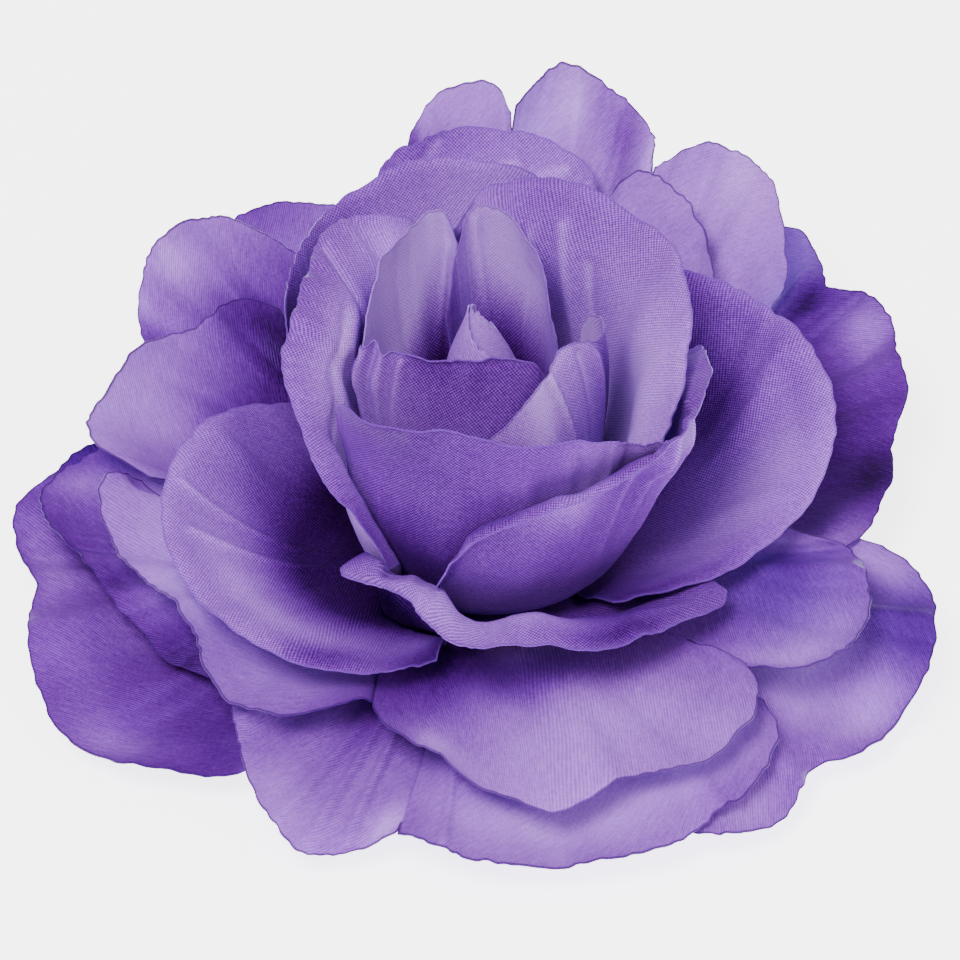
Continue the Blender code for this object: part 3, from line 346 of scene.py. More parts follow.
def curve_through(points, where):
    """Smooth curve through the points, read at where (0 to 1) and paced by chord length."""
    chords = np.sqrt(np.linalg.norm(np.diff(points, axis=0), axis=1))
    pace = np.concatenate([[0.0], np.cumsum(chords)]) / chords.sum()
    slopes = np.gradient(points, pace, axis=0)
    k = np.clip(np.searchsorted(pace, where, side="right") - 1, 0, len(pace) - 2)
    span = (pace[k + 1] - pace[k])[:, None]
    f = ((where - pace[k]) / (pace[k + 1] - pace[k]))[:, None]
    return ((2 * f ** 3 - 3 * f ** 2 + 1) * points[k] + (f ** 3 - 2 * f ** 2 + f) * span * slopes[k]
            + (3 * f ** 2 - 2 * f ** 3) * points[k + 1] + (f ** 3 - f ** 2) * span * slopes[k + 1])


def eased(values, where):
    """Smooth curve through equally spaced values, read at where (0 to 1)."""
    values = np.asarray(values, float)
    last = len(values) - 1
    x = np.clip(where, 0.0, 1.0) * last
    k = np.minimum(x.astype(int), last - 1)
    f = x - k
    padded = np.concatenate([[2 * values[0] - values[1]], values, [2 * values[-1] - values[-2]]])
    a, b, c, d = padded[k], padded[k + 1], padded[k + 2], padded[k + 3]
    return 0.5 * (2 * b + (c - a) * f + (2 * a - 5 * b + 4 * c - d) * f ** 2
                  + (3 * b - a - 3 * c + d) * f ** 3)


def gentle_min(a, b, reach):
    """The lower of a and b, rounded off where they are within reach of one another."""
    near = np.clip(1.0 - np.abs(a - b) / reach, 0.0, 1.0)
    return np.minimum(a, b) - reach * near ** 2 / 4.0


def rim_corners(shape):
    """The first and last azimuth of a petal's rim, and its points in x, y and z."""
    azimuths, radii, heights = np.array(shape["rim"], float).T
    azimuths = np.radians(azimuths)
    corners = np.stack([radii * np.cos(azimuths), radii * np.sin(azimuths), heights], axis=-1)
    return azimuths[0], azimuths[-1], corners


def rim_in_polar(shape, across):
    """Azimuth, reach and elevation of a petal's rim, seen from the pole."""
    first, last, corners = rim_corners(shape)
    line = curve_through(corners, (across + 1.0) / 2.0)
    middle = (first + last) / 2.0
    turned = np.arctan2(line[:, 1], line[:, 0]) - middle
    azimuth = middle + (turned + math.pi) % TURN - math.pi
    radius = np.hypot(line[:, 0], line[:, 1])
    rise = line[:, 2] - POLE
    return azimuth, np.hypot(radius, rise), np.arctan2(rise, radius)


def facets_across(shape):
    """Enough columns for the threads along this petal's rim to show."""
    length = np.linalg.norm(np.diff(rim_corners(shape)[2], axis=0), axis=1).sum()
    return int(np.clip(length / COLUMN_WIDTH, FEWEST, MOST)) // 2 * 2


def hub_slots(layer):
    """A layer's petals in order round the hub, and the stretch of hub that each grows from."""
    names = [n for n in PETALS if PETALS[n]["layer"] == layer]
    middles = {n: math.radians((PETALS[n]["rim"][0][0] + PETALS[n]["rim"][-1][0]) / 2.0) for n in names}
    ring = sorted(names, key=lambda n: middles[n] % TURN)
    slots = {}
    for k, name in enumerate(ring):
        here = middles[name]
        before = (here - middles[ring[k - 1]]) % TURN or TURN
        after = (middles[ring[(k + 1) % len(ring)]] - here) % TURN or TURN
        slots[name] = (here - before / 2.0, here + after / 2.0)
    return ring, slots


def wanted(shape, up, reach, rim_elevation):
    """Elevation that a petal would take if it had the room to itself."""
    start = math.radians(START[shape["layer"] - 1])
    share = eased((0.0,) + shape["rise"] + (1.0,), up)
    free = start + (rim_elevation - start) * share
    above = hub_height(shape["layer"]) - POLE
    flat = np.arcsin(np.clip(above / reach, -1.0, 1.0))
    lifted = smooth((reach - math.hypot(HUB_RADIUS, above) - LEAVE) / (FREE - LEAVE))
    return flat * (1 - lifted) + free * lifted


def wavy(count, length, waves, seed):
    """Smooth random line of this many steps, summed from waves of each (wave length, size)."""
    dice = np.random.default_rng(seed)
    x = np.linspace(0.0, 1.0, count)
    total = np.zeros(count)
    for wave, size in waves:
        knots = max(4, int(round(length / wave * 2)) + 1)
        total += size * eased(dice.uniform(-1.0, 1.0, knots), x)
    return total


def cut_edge(seed, columns):
    """How far a petal's cut edge stands out or in along its rim, mm."""
    length = columns * COLUMN_WIDTH
    return (wavy(columns + 1, length, SCALLOPS, seed)
            + wavy(columns + 1, length, THREADS, seed + THREAD_SEED))


def lay_petals():
    """Lay every petal outside the ones before it; returns a fine grid of points for each."""
    table_azimuths = np.radians(AZIMUTHS)
    inner = np.full((len(REACHES), len(AZIMUTHS)), NO_LIMIT)     # limit set by the layers inside
    mates = inner.copy()                                    # limit set by the same layer
    waiting = inner.copy()                                  # what this layer will set for the next
    layer = None
    grids = {}
    for name, shape in PETALS.items():
        if shape["layer"] != layer:
            layer = shape["layer"]
            inner = np.minimum(inner, waiting)
            mates = np.full_like(inner, NO_LIMIT)
            waiting = np.full_like(inner, NO_LIMIT)
            slots = hub_slots(layer)[1]
        hub = math.hypot(HUB_RADIUS, hub_height(layer) - POLE)
        columns = facets_across(shape)
        across = np.linspace(-1.0, 1.0, columns + 1)
        azimuth_rim, reach_rim, elevation_rim = rim_in_polar(shape, across)
        reach_rim = reach_rim + cut_edge(shape["seed"], columns)
        low, high = slots[name]
        half_slit = math.radians(SLIT) / 2.0
        root = low + half_slit + (high - low - 2 * half_slit) * (across + 1.0) / 2.0
        settled = np.zeros((len(REACHES), columns + 1))
        line_azimuths = np.zeros_like(settled)
        for j, reach in enumerate(REACHES):
            up = (reach - hub) / (reach_rim - hub)
            past_hub = reach - hub
            spread = sum(share * smooth((past_hub - STRAIGHT) / done) for share, done in TURNING)
            azimuth = root * (1 - spread) + azimuth_rim * spread
            line_azimuths[j] = azimuth
            level = wanted(shape, up, reach, elevation_rim)
            limit = np.interp(azimuth, table_azimuths, np.minimum(inner, mates)[j], period=TURN)
            given = smooth((past_hub - STRAIGHT) / GIVING)
            settled[j] = level + (gentle_min(level, limit, SOFT / reach) - level) * given
            # the limit that this petal sets, in its outline and fading out past it
            middle = (azimuth[0] + azimuth[-1]) / 2.0
            turned = (table_azimuths - middle + math.pi) % TURN - math.pi
            own_level = np.interp(turned + middle, azimuth, settled[j])
            past_rim = np.interp(turned + middle, azimuth, np.clip((up - 1.0) * (reach_rim - hub), 0, None))
            past_edge = np.clip(np.abs(turned) - (azimuth[-1] - azimuth[0]) / 2.0, 0, None)
            past = np.hypot(past_rim, past_edge * reach * np.cos(own_level))
            grown = smooth((past_hub - STRAIGHT) / PARTING)
            relax = 1.0 + (RELAX - 1.0) * smooth(past_hub / MATES_FAR)
            for limits, clear, soon in ((waiting, CLEAR, RELAX), (mates, CLEAR * grown, relax)):
                ceiling = own_level - clear / reach + FADE * (past / soon) ** 2
                limits[j] = np.minimum(limits[j], np.where(past > FORGOTTEN * soon, NO_LIMIT, ceiling))
        grids[name] = grid_points(across, hub, reach_rim, settled, line_azimuths)
    return grids


def grid_points(across, hub, reach_rim, settled, line_azimuths):
    """Points of one petal, rows measured along the cloth from hub to rim, columns across."""
    points = np.zeros((ROWS + 1, len(across), 3))
    fine = np.linspace(0.0, 1.0, FINER * ROWS + 1)
    for i in range(len(across)):
        reach = hub + (reach_rim[i] - hub) * fine
        elevation = eased(settled[:, i], (reach - REACHES[0]) / (REACHES[-1] - REACHES[0]))
        azimuth = np.interp(reach, REACHES, line_azimuths[:, i])
        radius = reach * np.cos(elevation)
        line = np.stack([radius * np.cos(azimuth), radius * np.sin(azimuth),
                         POLE + reach * np.sin(elevation)], axis=-1)
        run = np.concatenate([[0.0], np.cumsum(np.linalg.norm(np.diff(line, axis=0), axis=1))])
        points[:, i] = np.stack([np.interp(UPS * run[-1], run, line[:, c]) for c in range(3)], axis=-1)
    return points


def sew_joined(grids):
    """Bring the shared edges of joined petals together, up to where they are cut apart."""
    for layer in range(1, len(LAYERS) + 1):
        names = hub_slots(layer)[0]
        for name, following in zip(names, names[1:] + names[:1]):
            joined = PETALS[name]["joined"]
            if not joined:
                continue
            left, right = grids[name], grids[following]
            middle = (left[:, -1] + right[:, 0]) / 2.0
            hold = np.where(UPS <= joined, 1.0, smooth(1.0 - (UPS - joined) / SEAM_FADE))[:, None, None]
            to_last = smooth(np.linspace(-1.0, 1.0, left.shape[1]))[None, :, None]
            to_first = smooth(np.linspace(1.0, -1.0, right.shape[1]))[None, :, None]
            left += (middle - left[:, -1])[:, None] * hold * to_last
            right += (middle - right[:, 0])[:, None] * hold * to_first


def shares(points, ups=UPS):
    """Across (-1 to 1) and up (0 to 1) of every point of a grid."""
    return np.meshgrid(np.linspace(-1.0, 1.0, points.shape[1]), ups)


def arc_lengths(points):
    """Distance along the rows (from the first column) and along the columns, mm."""
    across = np.linalg.norm(np.diff(points, axis=1), axis=2)
    across = np.concatenate([np.zeros((len(points), 1)), np.cumsum(across, axis=1)], axis=1)
    along = np.linalg.norm(np.diff(points, axis=0), axis=2)
    along = np.concatenate([np.zeros((1, points.shape[1])), np.cumsum(along, axis=0)], axis=0)
    return across, along


def cloth_area(points):
    """Area of a grid's faces, square mm."""
    a, b, c, d = points[:-1, :-1], points[:-1, 1:], points[1:, 1:], points[1:, :-1]
    return float(np.linalg.norm(np.cross(c - a, d - b), axis=2).sum() / 2.0)


def inner_normals(points):
    """Unit normals on the side that faces the bud."""
    normal = np.cross(np.gradient(points, axis=0), np.gradient(points, axis=1))
    return normal / (np.linalg.norm(normal, axis=2, keepdims=True) + 1e-12)


def soft_noise(rows, columns, width, height, length, seed):
    """Smooth random field between -1 and 1 over a sheet of this size, with waves of this length."""
    dice = np.random.default_rng(seed)
    knots = dice.uniform(-1.0, 1.0, (max(4, int(height / length) + 2), max(4, int(width / length) + 2)))
    rows_done = np.array([eased(row, np.linspace(0.0, 1.0, columns)) for row in knots])
    return np.array([eased(line, np.linspace(0.0, 1.0, rows)) for line in rows_done.T]).T


def creases(shape, points):
    """Distance to each fold of a petal and the share along it, for every point, with its sizes."""
    across, up = shares(points)
    wide, tall = arc_lengths(points)
    width, height = wide[-1, -1] / 2.0, tall[-1].mean()
    for a0, u0, a1, u1, half, size in np.array(shape["folds"]) / 100.0:
        x, y = (across - a0) * width, (up - u0) * height
        dx, dy = (a1 - a0) * width, (u1 - u0) * height
        share = np.clip((x * dx + y * dy) / (dx * dx + dy * dy), 0.0, 1.0)
        yield np.hypot(x - share * dx, y - share * dy), share, half, size


def fold_cloth(shape, points):
    """Press the petal's folds, soft waves and edge puckers into its surface."""
    rows, columns = points.shape[:2]
    up = shares(points)[1]
    wide, tall = arc_lengths(points)
    width, height = wide[-1, -1], tall[-1].mean()
    seed = shape["seed"]
    lift = RIPPLE[shape["layer"] - 1] * smooth(up * RIPPLE_GROWTH - RIPPLE_STILL)
    lift = lift * soft_noise(rows, columns, width, height, RIPPLE_LENGTH, seed + RIPPLE_SEED)
    puckers = wavy(columns, width, PUCKERS, seed + PUCKER_SEED)
    lift = lift + puckers[None, :] * smooth(1.0 - (tall[-1][None, :] - tall) / PUCKER_REACH)
    for distance, share, half, size in creases(shape, points):
        lift = lift + PRESSED * size * np.exp(-(distance / half) ** 2) * (1.0 - WEAKER * share ** 2)
    return points + inner_normals(points) * lift[..., None]


def roll_rim(roll, points):
    """Roll the outer edge of a petal outwards, as a hot iron leaves it."""
    width, radius, start, end = roll
    across = shares(points)[0][0]
    share = smooth((1.0 - np.abs(across - (start + end) / 2.0) / ((end - start) / 2.0)) * ROLL_FADE)
    tall = arc_lengths(points)[1]
    normals = inner_normals(points)
    rolled = points.copy()
    for i, s in enumerate(tall.T):
        begin = s[-1] - width * share[i]
        past = s > begin
        if past.sum() < 2:
            continue
        foot, before, normal = (np.array([np.interp(at, s, field[:, i, c]) for c in range(3)])
                                for at, field in ((begin, points), (begin - TANGENT, points),
                                                  (begin, normals)))
        along = foot - before
        along /= np.linalg.norm(along)
        normal -= along * normal.dot(along)
        normal /= np.linalg.norm(normal)
        turn = (s[past] - begin) / radius
        rolled[past, i] = (foot + np.outer(np.sin(turn) * radius, along)
                           - np.outer((1.0 - np.cos(turn)) * radius, normal))
    return rolled


# ---------------------------------------------------------------- meshes
def grid_faces(index):
    """Four-cornered faces between the points of a grid, given their numbers."""
    corners = (index[:-1, :-1], index[:-1, 1:], index[1:, 1:], index[1:, :-1])
    return np.stack(corners, axis=-1).reshape(-1, 4).tolist()


def make_sheet(name, verts, faces, cloth, tone, finish):
    """Make a cloth: its mesh with cloth coordinates and lightness (dyeing with painted light and shade),
    its thickness and its material.
    """
    mesh = bpy.data.meshes.new(name)
    mesh.from_pydata([tuple(v) for v in np.asarray(verts) * MM], [], faces)
    for label, values in (("cloth", cloth), ("tone", tone)):
        layer = mesh.attributes.new(label, "FLOAT_VECTOR", "POINT")
        layer.data.foreach_set("vector", np.asarray(values, np.float32).ravel())
    mesh.polygons.foreach_set("use_smooth", [True] * len(mesh.polygons))
    mesh.update()
    thing = bpy.data.objects.new(name, mesh)
    bpy.context.scene.collection.objects.link(thing)
    solidify = thing.modifiers.new("thickness", "SOLIDIFY")
    solidify.thickness = SHEET * MM
    solidify.offset = 0.0
    bpy.ops.object.select_all(action="DESELECT")
    thing.select_set(True)
    bpy.context.view_layer.objects.active = thing
    bpy.ops.object.modifier_apply(modifier="thickness")
    bpy.ops.object.shade_smooth_by_angle(angle=math.radians(CREASE_ANGLE))
    thing.data.materials.append(finish)
    return thing


def sewn_rows(joined):
    """The last row that two joined petals share."""
    return int(np.searchsorted(UPS, joined + 1e-6)) - 1


def edge_distance(wide, tall, before, after):
    """How far each point is from the petal's cut edge, mm, given how far up its sides are joined."""
    rim = tall[-1][None, :] - tall
    left = wide - wide[:, :1]
    right = wide[:, -1:] - wide
    for side, joined in ((left, before), (right, after)):
        if joined:
            kept = sewn_rows(joined)
            side[:kept] = np.hypot(side[:kept], tall[kept, 0] - tall[:kept, :1])
    return np.minimum(rim, np.minimum(left, right))


def dabbed(level, places, across, up):
    """Add soft round places of lighter or darker colour, or of bluer; in lightness they are uneven dyeing,
    painted highlights and painted shadows.
    """
    for at, height, wide, tall, amount in np.array(places) / 100.0:
        level = level + amount * np.exp(-((across - at) / wide) ** 2 - ((up - height) / tall) ** 2)
    return level


def dye_and_painted_light_of(shape, points):
    """Lightness and blueness all over one petal: dyeing with painted light and shade, and a painted
    highlight along the ridge of sharp creases.
    """
    across, up = shares(points)
    *steps, side, slant = np.array(shape["dye_and_painted_light"]) / 100.0
    # root to rim and side to side: dyeing, with painted shade in the hollows and painted light deep inside
    level = eased(steps, up) + side * np.abs(across) ** 3 + slant * across
    # blotches: uneven dyeing, painted satin highlights and painted shadows
    level = dabbed(level, shape["blotches"], across, up)
    # a painted highlight along the ridge of each sharp crease
    for distance, share, half, size in creases(shape, points):
        if half < SHARP and shape["layer"] > SATIN_LAYERS:
            level = level + PAINTED_RIDGE_HIGHLIGHT * np.exp(-(distance / (RIDGE * half)) ** 2) * (1.0 - share)
    blue = dabbed(np.zeros_like(level), shape["blues"], across, up)
    return np.clip(level, 0.0, PALEST), np.clip(blue, 0.0, 1.0)


def petal_layer(layer, names, grids, finish):
    """One die-cut layer as a sheet: the uncut middle with its pin hole and the petals round it."""
    verts, faces, cloth, tone, roots, seam = [], [], [], [], [], []
    before = area = 0.0
    for name in names:
        points = grids[name]
        rows, columns = points.shape[:2]
        wide, tall = arc_lengths(points)
        joined = PETALS[name]["joined"]
        edge = edge_distance(wide, tall, before, joined)
        # the weave runs on over a seam, and elsewhere it is centred on its petal
        start = wide[:, -1 if joined else 0 if before else columns // 2]
        dye_and_painted_light, blue = dye_and_painted_light_of(PETALS[name], points)
        index = np.zeros((rows, columns), int)
        for j in range(rows):
            for i in range(columns):
                if i == 0 and j < len(seam):
                    index[j, i] = seam[j]
                    continue
                index[j, i] = len(verts)
                verts.append(points[j, i])
                cloth.append((wide[j, i] - start[j], tall[j, i] + HUB_RADIUS, edge[j, i]))
                tone.append((dye_and_painted_light[j, i], blue[j, i], 0.0))
        faces += grid_faces(index)
        area += cloth_area(points)
        roots += index[0, 1 if seam else 0:].tolist()
        seam = index[:sewn_rows(joined) + 1, -1].tolist() if joined else []
        before = joined
    hole = PIN_RADIUS + SEAT
    rings = [roots]
    for radius in MIDDLE_RINGS + (hole,):
        ring = []
        for root in roots:
            x, y = verts[root][:2]
            share = radius / math.hypot(x, y)
            ring.append(len(verts))
            verts.append(np.array((x * share, y * share, hub_height(layer))))
            cloth.append((cloth[root][0] * share, radius, UNCUT))
            tone.append((tone[root][0], 0.0, 0.0))
        rings.append(ring)
    for outer, inner in zip(rings, rings[1:]):
        for k in range(len(roots)):
            n = (k + 1) % len(roots)
            faces.append((inner[k], inner[n], outer[n], outer[k]))
    area += math.pi * (HUB_RADIUS ** 2 - hole ** 2)
    return make_sheet(LAYERS[layer - 1] + "_cloth", verts, faces, cloth, tone, finish), area


def bud_radius(height):
    """Radius of the foam bud, or of the hollow tip that the cloth makes above it."""
    heights, radii = zip(*BUD_SHAPE, (WRAP_TIP, WRAP_TIP_RADIUS - SEAT - SHEET / 2))
    return np.interp(height, heights, radii)


def roll_point(turn, level, ragged):
    """Point of the rolled cloth, this many turns out and at this share of its height."""
    azimuth = math.radians(WRAP_END) + TURN * (turn - WRAP_TURNS)
    away = 0.5 - 0.5 * math.cos(azimuth - math.radians(WRAP_APEX))
    fallen = away * float(smooth((turn - WRAP_FALLS) / WRAP_FALLS))
    top = WRAP_TIP - WRAP_DROP * fallen + ragged
    height = WRAP_FOOT + (top - WRAP_FOOT) * level
    tip = smooth((height - BUD_HOLLOW) / (WRAP_TIP - BUD_HOLLOW))
    pitch = WRAP_PITCH + (WRAP_PITCH_TIP - WRAP_PITCH) * tip
    radius = bud_radius(height) + SEAT + SHEET / 2 + pitch * turn
    leant = float(smooth((height - BUD_UPRIGHT) / (BUD_LEANT - BUD_UPRIGHT)))
    return (radius * math.cos(azimuth) + BUD_LEAN[0] * leant,
            radius * math.sin(azimuth) + BUD_LEAN[1] * leant, height)


def bud_cloth(finish):
    """The cloth rolled round the bud, its tip leaning to one side."""
    turns, levels = (np.linspace(0.0, end, steps + 1) for end, steps in zip((WRAP_TURNS, 1.0), WRAP_FACETS))
    ragged = wavy(len(turns), WRAP_LENGTH, WRAP_RAGS, BUD_SEED)
    points = np.array([[roll_point(turn, level, edge) for turn, edge in zip(turns, ragged)]
                       for level in levels])
    wide, tall = arc_lengths(points)
    edge = np.minimum(tall[-1][None, :] - tall, wide[:, -1:] - wide)
    up = shares(points, levels)[1]
    cloth = np.stack([wide, tall, edge], axis=-1).reshape(-1, 3)
    tone = np.stack([WRAP_DYE[0] + WRAP_DYE[1] * up, 0.0 * up, 0.0 * up], axis=-1).reshape(-1, 3)
    faces = grid_faces(np.arange(up.size).reshape(up.shape))
    wrap = make_sheet("bud_wrap_cloth", points.reshape(-1, 3), faces, cloth, tone, finish)
    return wrap, cloth_area(points)


# ---------------------------------------------------------------- materials
def hex_colour(text):
    """sRGB hex to the linear colour that shaders use."""
    values = [int(text[k:k + 2], 16) / 255.0 for k in (0, 2, 4)]
    return [v / 12.92 if v <= 0.04045 else ((v + 0.055) / 1.055) ** 2.4 for v in values] + [1.0]


def node(tree, kind, *links, named=None, stops=(), **settings):
    """Add one node with its settings, a ramp's stops, and links to its inputs, in order or named.

    A link is a socket, a node, which stands for its first output, or the input's constant.
    """
    made = tree.nodes.new("ShaderNode" + kind)
    for key, value in settings.items():
        setattr(made, key, value)
    for key, value in list(enumerate(links)) + list((named or {}).items()):
        if isinstance(value, bpy.types.Node):
            value = value.outputs[0]
        if isinstance(value, bpy.types.NodeSocket):
            tree.links.new(value, made.inputs[key])
        else:
            made.inputs[key].default_value = value
    for k, (place, look) in enumerate(stops):
        keys = made.color_ramp.elements
        if k > 1:
            keys.new(place)
        keys[k].position = place
        keys[k].color = hex_colour(look) if isinstance(look, str) else (look, look, look, 1.0)
    return made


def material(name, **looks):
    """Make a material with these constants on its shader.

    Returns it, its node tree, the shader's inputs and the place on the object.
    """
    made = bpy.data.materials.new(name)
    made.use_nodes = True
    tree = made.node_tree
    shader = tree.nodes["Principled BSDF"]
    for key, value in looks.items():
        shader.inputs[key.replace("_", " ")].default_value = value
    return made, tree, shader.inputs, node(tree, "TexCoord").outputs["Object"]


# purple dye, from where it is deepest to where it is palest; the darkest stops paint the shade of deep
# hollows
DYE_AND_SHADE_STOPS = ((0.0, "12001F"), (0.08, "23013C"), (0.17, "370359"), (0.28, "4A1171"), (0.42, "5E2989"),
             (0.55, "753FA2"), (0.68, "8B55B8"), (0.83, "A16AD0"), (1.0, "BC8CE6"))
DYE_RANGE = 0.75       # how far along the stops a lightness of 1 comes
DYE_BLUE = "A0D0FF"    # what is left of the light where the dye has run bluer
BLUER = 0.35           # and how much of that shows
CLOUDS = 0.085         # patches where the dye took unevenly, to a millimetre: each 12 mm across
CLOUDED = 0.30
GLINTS_AND_NAP = 3.0           # filaments painted as glints, and bumps of loose ones, to a millimetre
SLUBS = (2.2, 0.35)    # thicker stretches of yarn to a millimetre, across the rib and along it
SLUBBED = 0.30
RELIEF = 0.05 * MM     # height of the weave
NAP = 0.1 * MM         # and of loose filaments
EDGE_WIDTH = 0.5       # where the fused edge has gone over into cloth, mm
EDGE_STOPS = ((0.0, 1.0), (0.3, 0.8), (0.6, 0.0))


def petal_cloth(name, pitch, twill, float_sheen, painted_glint, edge_colour, edge_share):
    """Polyester filament cloth, stiffened, pressed hot into shape and cut with a hot die.

    That gives it deeper colour at the root, partly its dyeing and partly painted shade, a low
    sheen and a dark fused edge; its floating threads are painted paler and the gaps between them
    darker, as painted sheen and shade, and single filaments are painted as glints. pitch is the
    thread spacing in mm, drawn coarser than the real 0.34 so that it shows, twill turns the weave's
    dots into slanting ribs, float_sheen is how much paler the floating threads are painted and
    darker the gaps, and painted_glint how much single filaments are painted as glints. edge_share
    is how much of the edge's colour shows.
    """
    made, tree, shader, place = material(
        name, Roughness=0.42, Specular_IOR_Level=0.4, Specular_Tint=hex_colour("9A5BEA"),
        Sheen_Weight=0.1, Sheen_Roughness=0.4, Sheen_Tint=hex_colour("7A3CE0"))
    cloth, tone = (node(tree, "Attribute", attribute_name=which).outputs["Vector"]
                   for which in ("cloth", "tone"))
    wide, tall, edge = node(tree, "SeparateXYZ", cloth).outputs
    dye_and_painted_light, blue, _ = node(tree, "SeparateXYZ", tone).outputs
    cloud = node(tree, "TexNoise", named={"Vector": place, "Scale": CLOUDS / MM, "Detail": 2.0})
    glint_and_nap = node(tree, "TexNoise", named={"Vector": place, "Scale": GLINTS_AND_NAP / MM, "Detail": 2.0})
    # slubs, drawn out along the rib
    rib = node(tree, "Math", wide, tall, operation="ADD")
    beside = node(tree, "Math", wide, tall, operation="SUBTRACT")
    slub = node(tree, "Math", rib, SLUBS[0], operation="MULTIPLY")
    run = node(tree, "Math", beside, SLUBS[1], operation="MULTIPLY")
    drawn = node(tree, "CombineXYZ", slub, run)
    yarn = node(tree, "TexNoise", named={"Vector": drawn, "Scale": 1.0, "Detail": 1.0})
    # threads: one set across, one along, and the ribs of a twill aslant
    threads = []
    for way in (wide, tall, rib):
        phase = node(tree, "Math", way, TURN / pitch, operation="MULTIPLY")
        threads.append(node(tree, "Math", phase, operation="SINE"))
    plain = node(tree, "Math", threads[0], threads[1], operation="MULTIPLY")
    plain = node(tree, "Math", plain, 1.0 - twill, operation="MULTIPLY")
    weave = node(tree, "Math", threads[2], twill, plain, operation="MULTIPLY_ADD")
    # uneven dyeing in clouds and slubs, single filaments painted as glints, and threads that float on top
    # painted paler with the gaps darker: painted sheen and shade
    level = dye_and_painted_light
    for noise, amount in ((cloud, CLOUDED), (glint_and_nap, painted_glint), (yarn, SLUBBED * twill)):
        uneven = node(tree, "Math", noise, 0.5, operation="SUBTRACT")
        level = node(tree, "Math", uneven, amount, level, operation="MULTIPLY_ADD")
    level = node(tree, "Math", weave, float_sheen, level, operation="MULTIPLY_ADD")
    level = node(tree, "Math", level, DYE_RANGE, operation="MULTIPLY")
    colour = node(tree, "ValToRGB", level, stops=DYE_AND_SHADE_STOPS).outputs[0]
    bluish = node(tree, "Mix", data_type="RGBA", blend_type="MULTIPLY",
                  named={0: 1.0, 6: colour, 7: hex_colour(DYE_BLUE)}).outputs[2]
    # the fused edge itself, a thin line
    inwards = node(tree, "Math", edge, EDGE_WIDTH, operation="DIVIDE")
    line = node(tree, "ValToRGB", inwards, stops=EDGE_STOPS)
    for share, most, look in ((blue, BLUER, bluish), (line, edge_share, hex_colour(edge_colour))):
        share = node(tree, "Math", share, most, operation="MULTIPLY")
        colour = node(tree, "Mix", named={0: share, 6: colour, 7: look}, data_type="RGBA").outputs[2]
    tree.links.new(colour, shader["Base Color"])
    bump = node(tree, "Bump", named={"Strength": 0.3, "Distance": RELIEF, "Height": weave})
    rough = node(tree, "Bump", named={"Strength": 0.25, "Distance": NAP, "Height": glint_and_nap, "Normal": bump})
    tree.links.new(rough.outputs[0], shader["Normal"])
    return made


def moulded_plastic(name, deep, pale):
    """Injection-moulded polyethylene: waxy, faintly uneven, satin, with flow marks 3 mm apart."""
    made, tree, shader, place = material(name)
    flow = node(tree, "TexNoise", named={"Vector": place, "Scale": 0.3 / MM, "Detail": 3.0})
    colour = node(tree, "Mix", named={0: flow, 6: hex_colour(deep), 7: hex_colour(pale)}, data_type="RGBA")
    gloss = node(tree, "ValToRGB", flow, stops=((0.3, 0.38), (0.7, 0.52)))
    bump = node(tree, "Bump", named={"Strength": 0.1, "Distance": 0.1 * MM, "Height": flow})
    for socket, key in ((colour.outputs[2], "Base Color"), (gloss.outputs[0], "Roughness"),
                        (bump.outputs[0], "Normal")):
        tree.links.new(socket, shader[key])
    return made


def moulded_foam(name):
    """Expanded polystyrene: matt white beads 1.5 mm across, pressed together with steam."""
    made, tree, shader, place = material(name, Roughness=0.8)
    beads = node(tree, "TexVoronoi", named={"Vector": place, "Scale": 0.65 / MM})
    colour = node(tree, "ValToRGB", beads, stops=((0.0, "F2F0E8"), (0.7, "DAD7CC")))
    bump = node(tree, "Bump", named={"Strength": 0.4, "Distance": 0.2 * MM, "Height": beads})
    tree.links.new(colour.outputs[0], shader["Base Color"])
    tree.links.new(bump.outputs[0], shader["Normal"])
    return made


def studio_paper(name):
    """Matt pale backdrop paper, lit through from below."""
    made, tree, shader, place = material(name, Roughness=0.9, Specular_IOR_Level=0.1,
                                         Emission_Color=(1.0, 1.0, 1.0, 1.0), Emission_Strength=3.5)
    grain = node(tree, "TexNoise", named={"Vector": place, "Scale": 0.9 / MM, "Detail": 2.0})
    colour = node(tree, "ValToRGB", grain, stops=((0.3, "F1F1F1"), (0.7, "F3F3F3")))
    tree.links.new(colour.outputs[0], shader["Base Color"])
    return made


# ---------------------------------------------------------------- the flower
satin = petal_cloth("heat_shaped_polyester_satin", pitch=0.38, twill=0.85, float_sheen=0.10,
                    painted_glint=0.28, edge_colour="2C0850", edge_share=0.85)
taffeta = petal_cloth("heat_shaped_polyester_taffeta", pitch=0.42, twill=0.10, float_sheen=0.34,
                      painted_glint=0.48, edge_colour="5E3290", edge_share=0.7)
bud_taffeta = petal_cloth("rolled_polyester_taffeta", pitch=0.42, twill=0.60, float_sheen=0.26,
                          painted_glint=0.36, edge_colour="A078D8", edge_share=0.5)
stem_green = moulded_plastic("moulded_green_polyethylene", "1E3D1A", "274A20")
white_foam = moulded_foam("expanded_polystyrene")

petals = lay_petals()
sew_joined(petals)
for name, shape in PETALS.items():
    if shape["roll"]:
        petals[name] = roll_rim(shape["roll"], petals[name])
    petals[name] = fold_cloth(shape, petals[name])

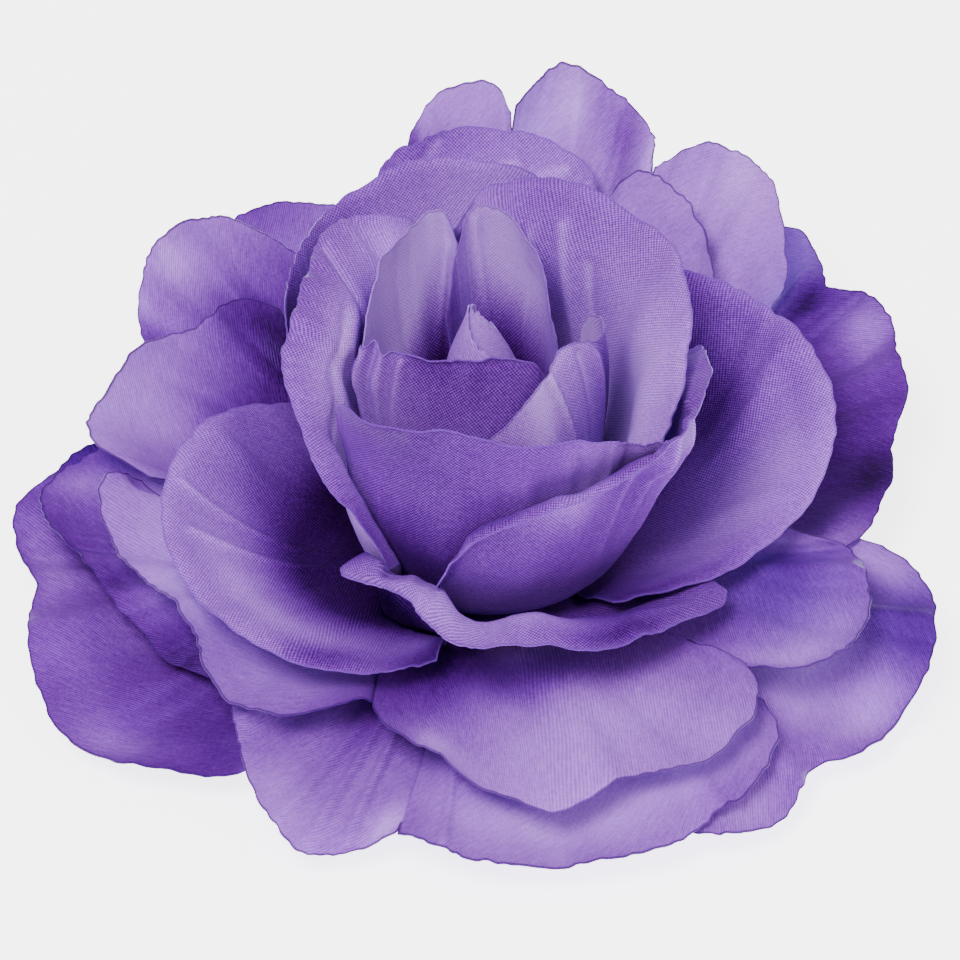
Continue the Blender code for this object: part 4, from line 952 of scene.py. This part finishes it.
for layer, solid in enumerate(LAYERS, 1):
    names = hub_slots(layer)[0]
    outer = layer <= SATIN_LAYERS
    piece, area = petal_layer(layer, names, petals, satin if outer else taffeta)
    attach(piece, "root")
    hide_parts(solid)

wrap, area = bud_cloth(bud_taffeta)
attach(wrap, "root")
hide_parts("bud_wrap")

plastic_parts = ["back_cap", "pin"] + ["spacer_%d" % k for k in range(1, len(LAYERS))]
for finish, names in ((stem_green, plastic_parts), (white_foam, ["bud_core"])):
    for name in names:
        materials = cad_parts[name].data.materials
        materials.clear()
        materials.append(finish)

# ---------------------------------------------------------------- floor, light and camera
FLOOR_SIZE = 6.0
MIDDLE = Vector((-0.0011, 0.0, 0.0173))    # what the camera and the lights point at
DISTANCE = 0.7
ELEVATION = math.radians(45.0)

bpy.ops.mesh.primitive_plane_add(size=FLOOR_SIZE, location=(0, 0, 0))
floor = bpy.context.object
floor.name = "floor"
floor.data.materials.append(studio_paper("matt_backdrop_paper"))

world = bpy.data.worlds.new("studio")
world.use_nodes = True
for socket, value in (("Color", (1.0, 1.0, 1.0, 1.0)), ("Strength", 0.85)):
    world.node_tree.nodes["Background"].inputs[socket].default_value = value
bpy.context.scene.world = world

# name, place and size in metres, power in watts
for name, place, size, power in (("key_softbox", (-0.20, -0.30, 0.75), 0.32, 9.5),
                                 ("fill_softbox", (0.55, -0.45, 0.55), 0.5, 2.5)):
    data = bpy.data.lights.new(name, "AREA")
    data.energy = power
    data.size = size
    light = bpy.data.objects.new(name, data)
    bpy.context.scene.collection.objects.link(light)
    light.location = place
    light.rotation_euler = (MIDDLE - Vector(place)).to_track_quat("-Z", "Y").to_euler()

lens = bpy.data.cameras.new("camera")
lens.sensor_width = 36.0
lens.lens = 238.9
lens.clip_start = 0.01
camera = bpy.data.objects.new("camera", lens)
bpy.context.scene.collection.objects.link(camera)
camera.location = MIDDLE + Vector((0.0, -math.cos(ELEVATION), math.sin(ELEVATION))) * DISTANCE
camera.rotation_euler = (math.pi / 2 - ELEVATION, 0.0, 0.0)
bpy.context.scene.camera = camera
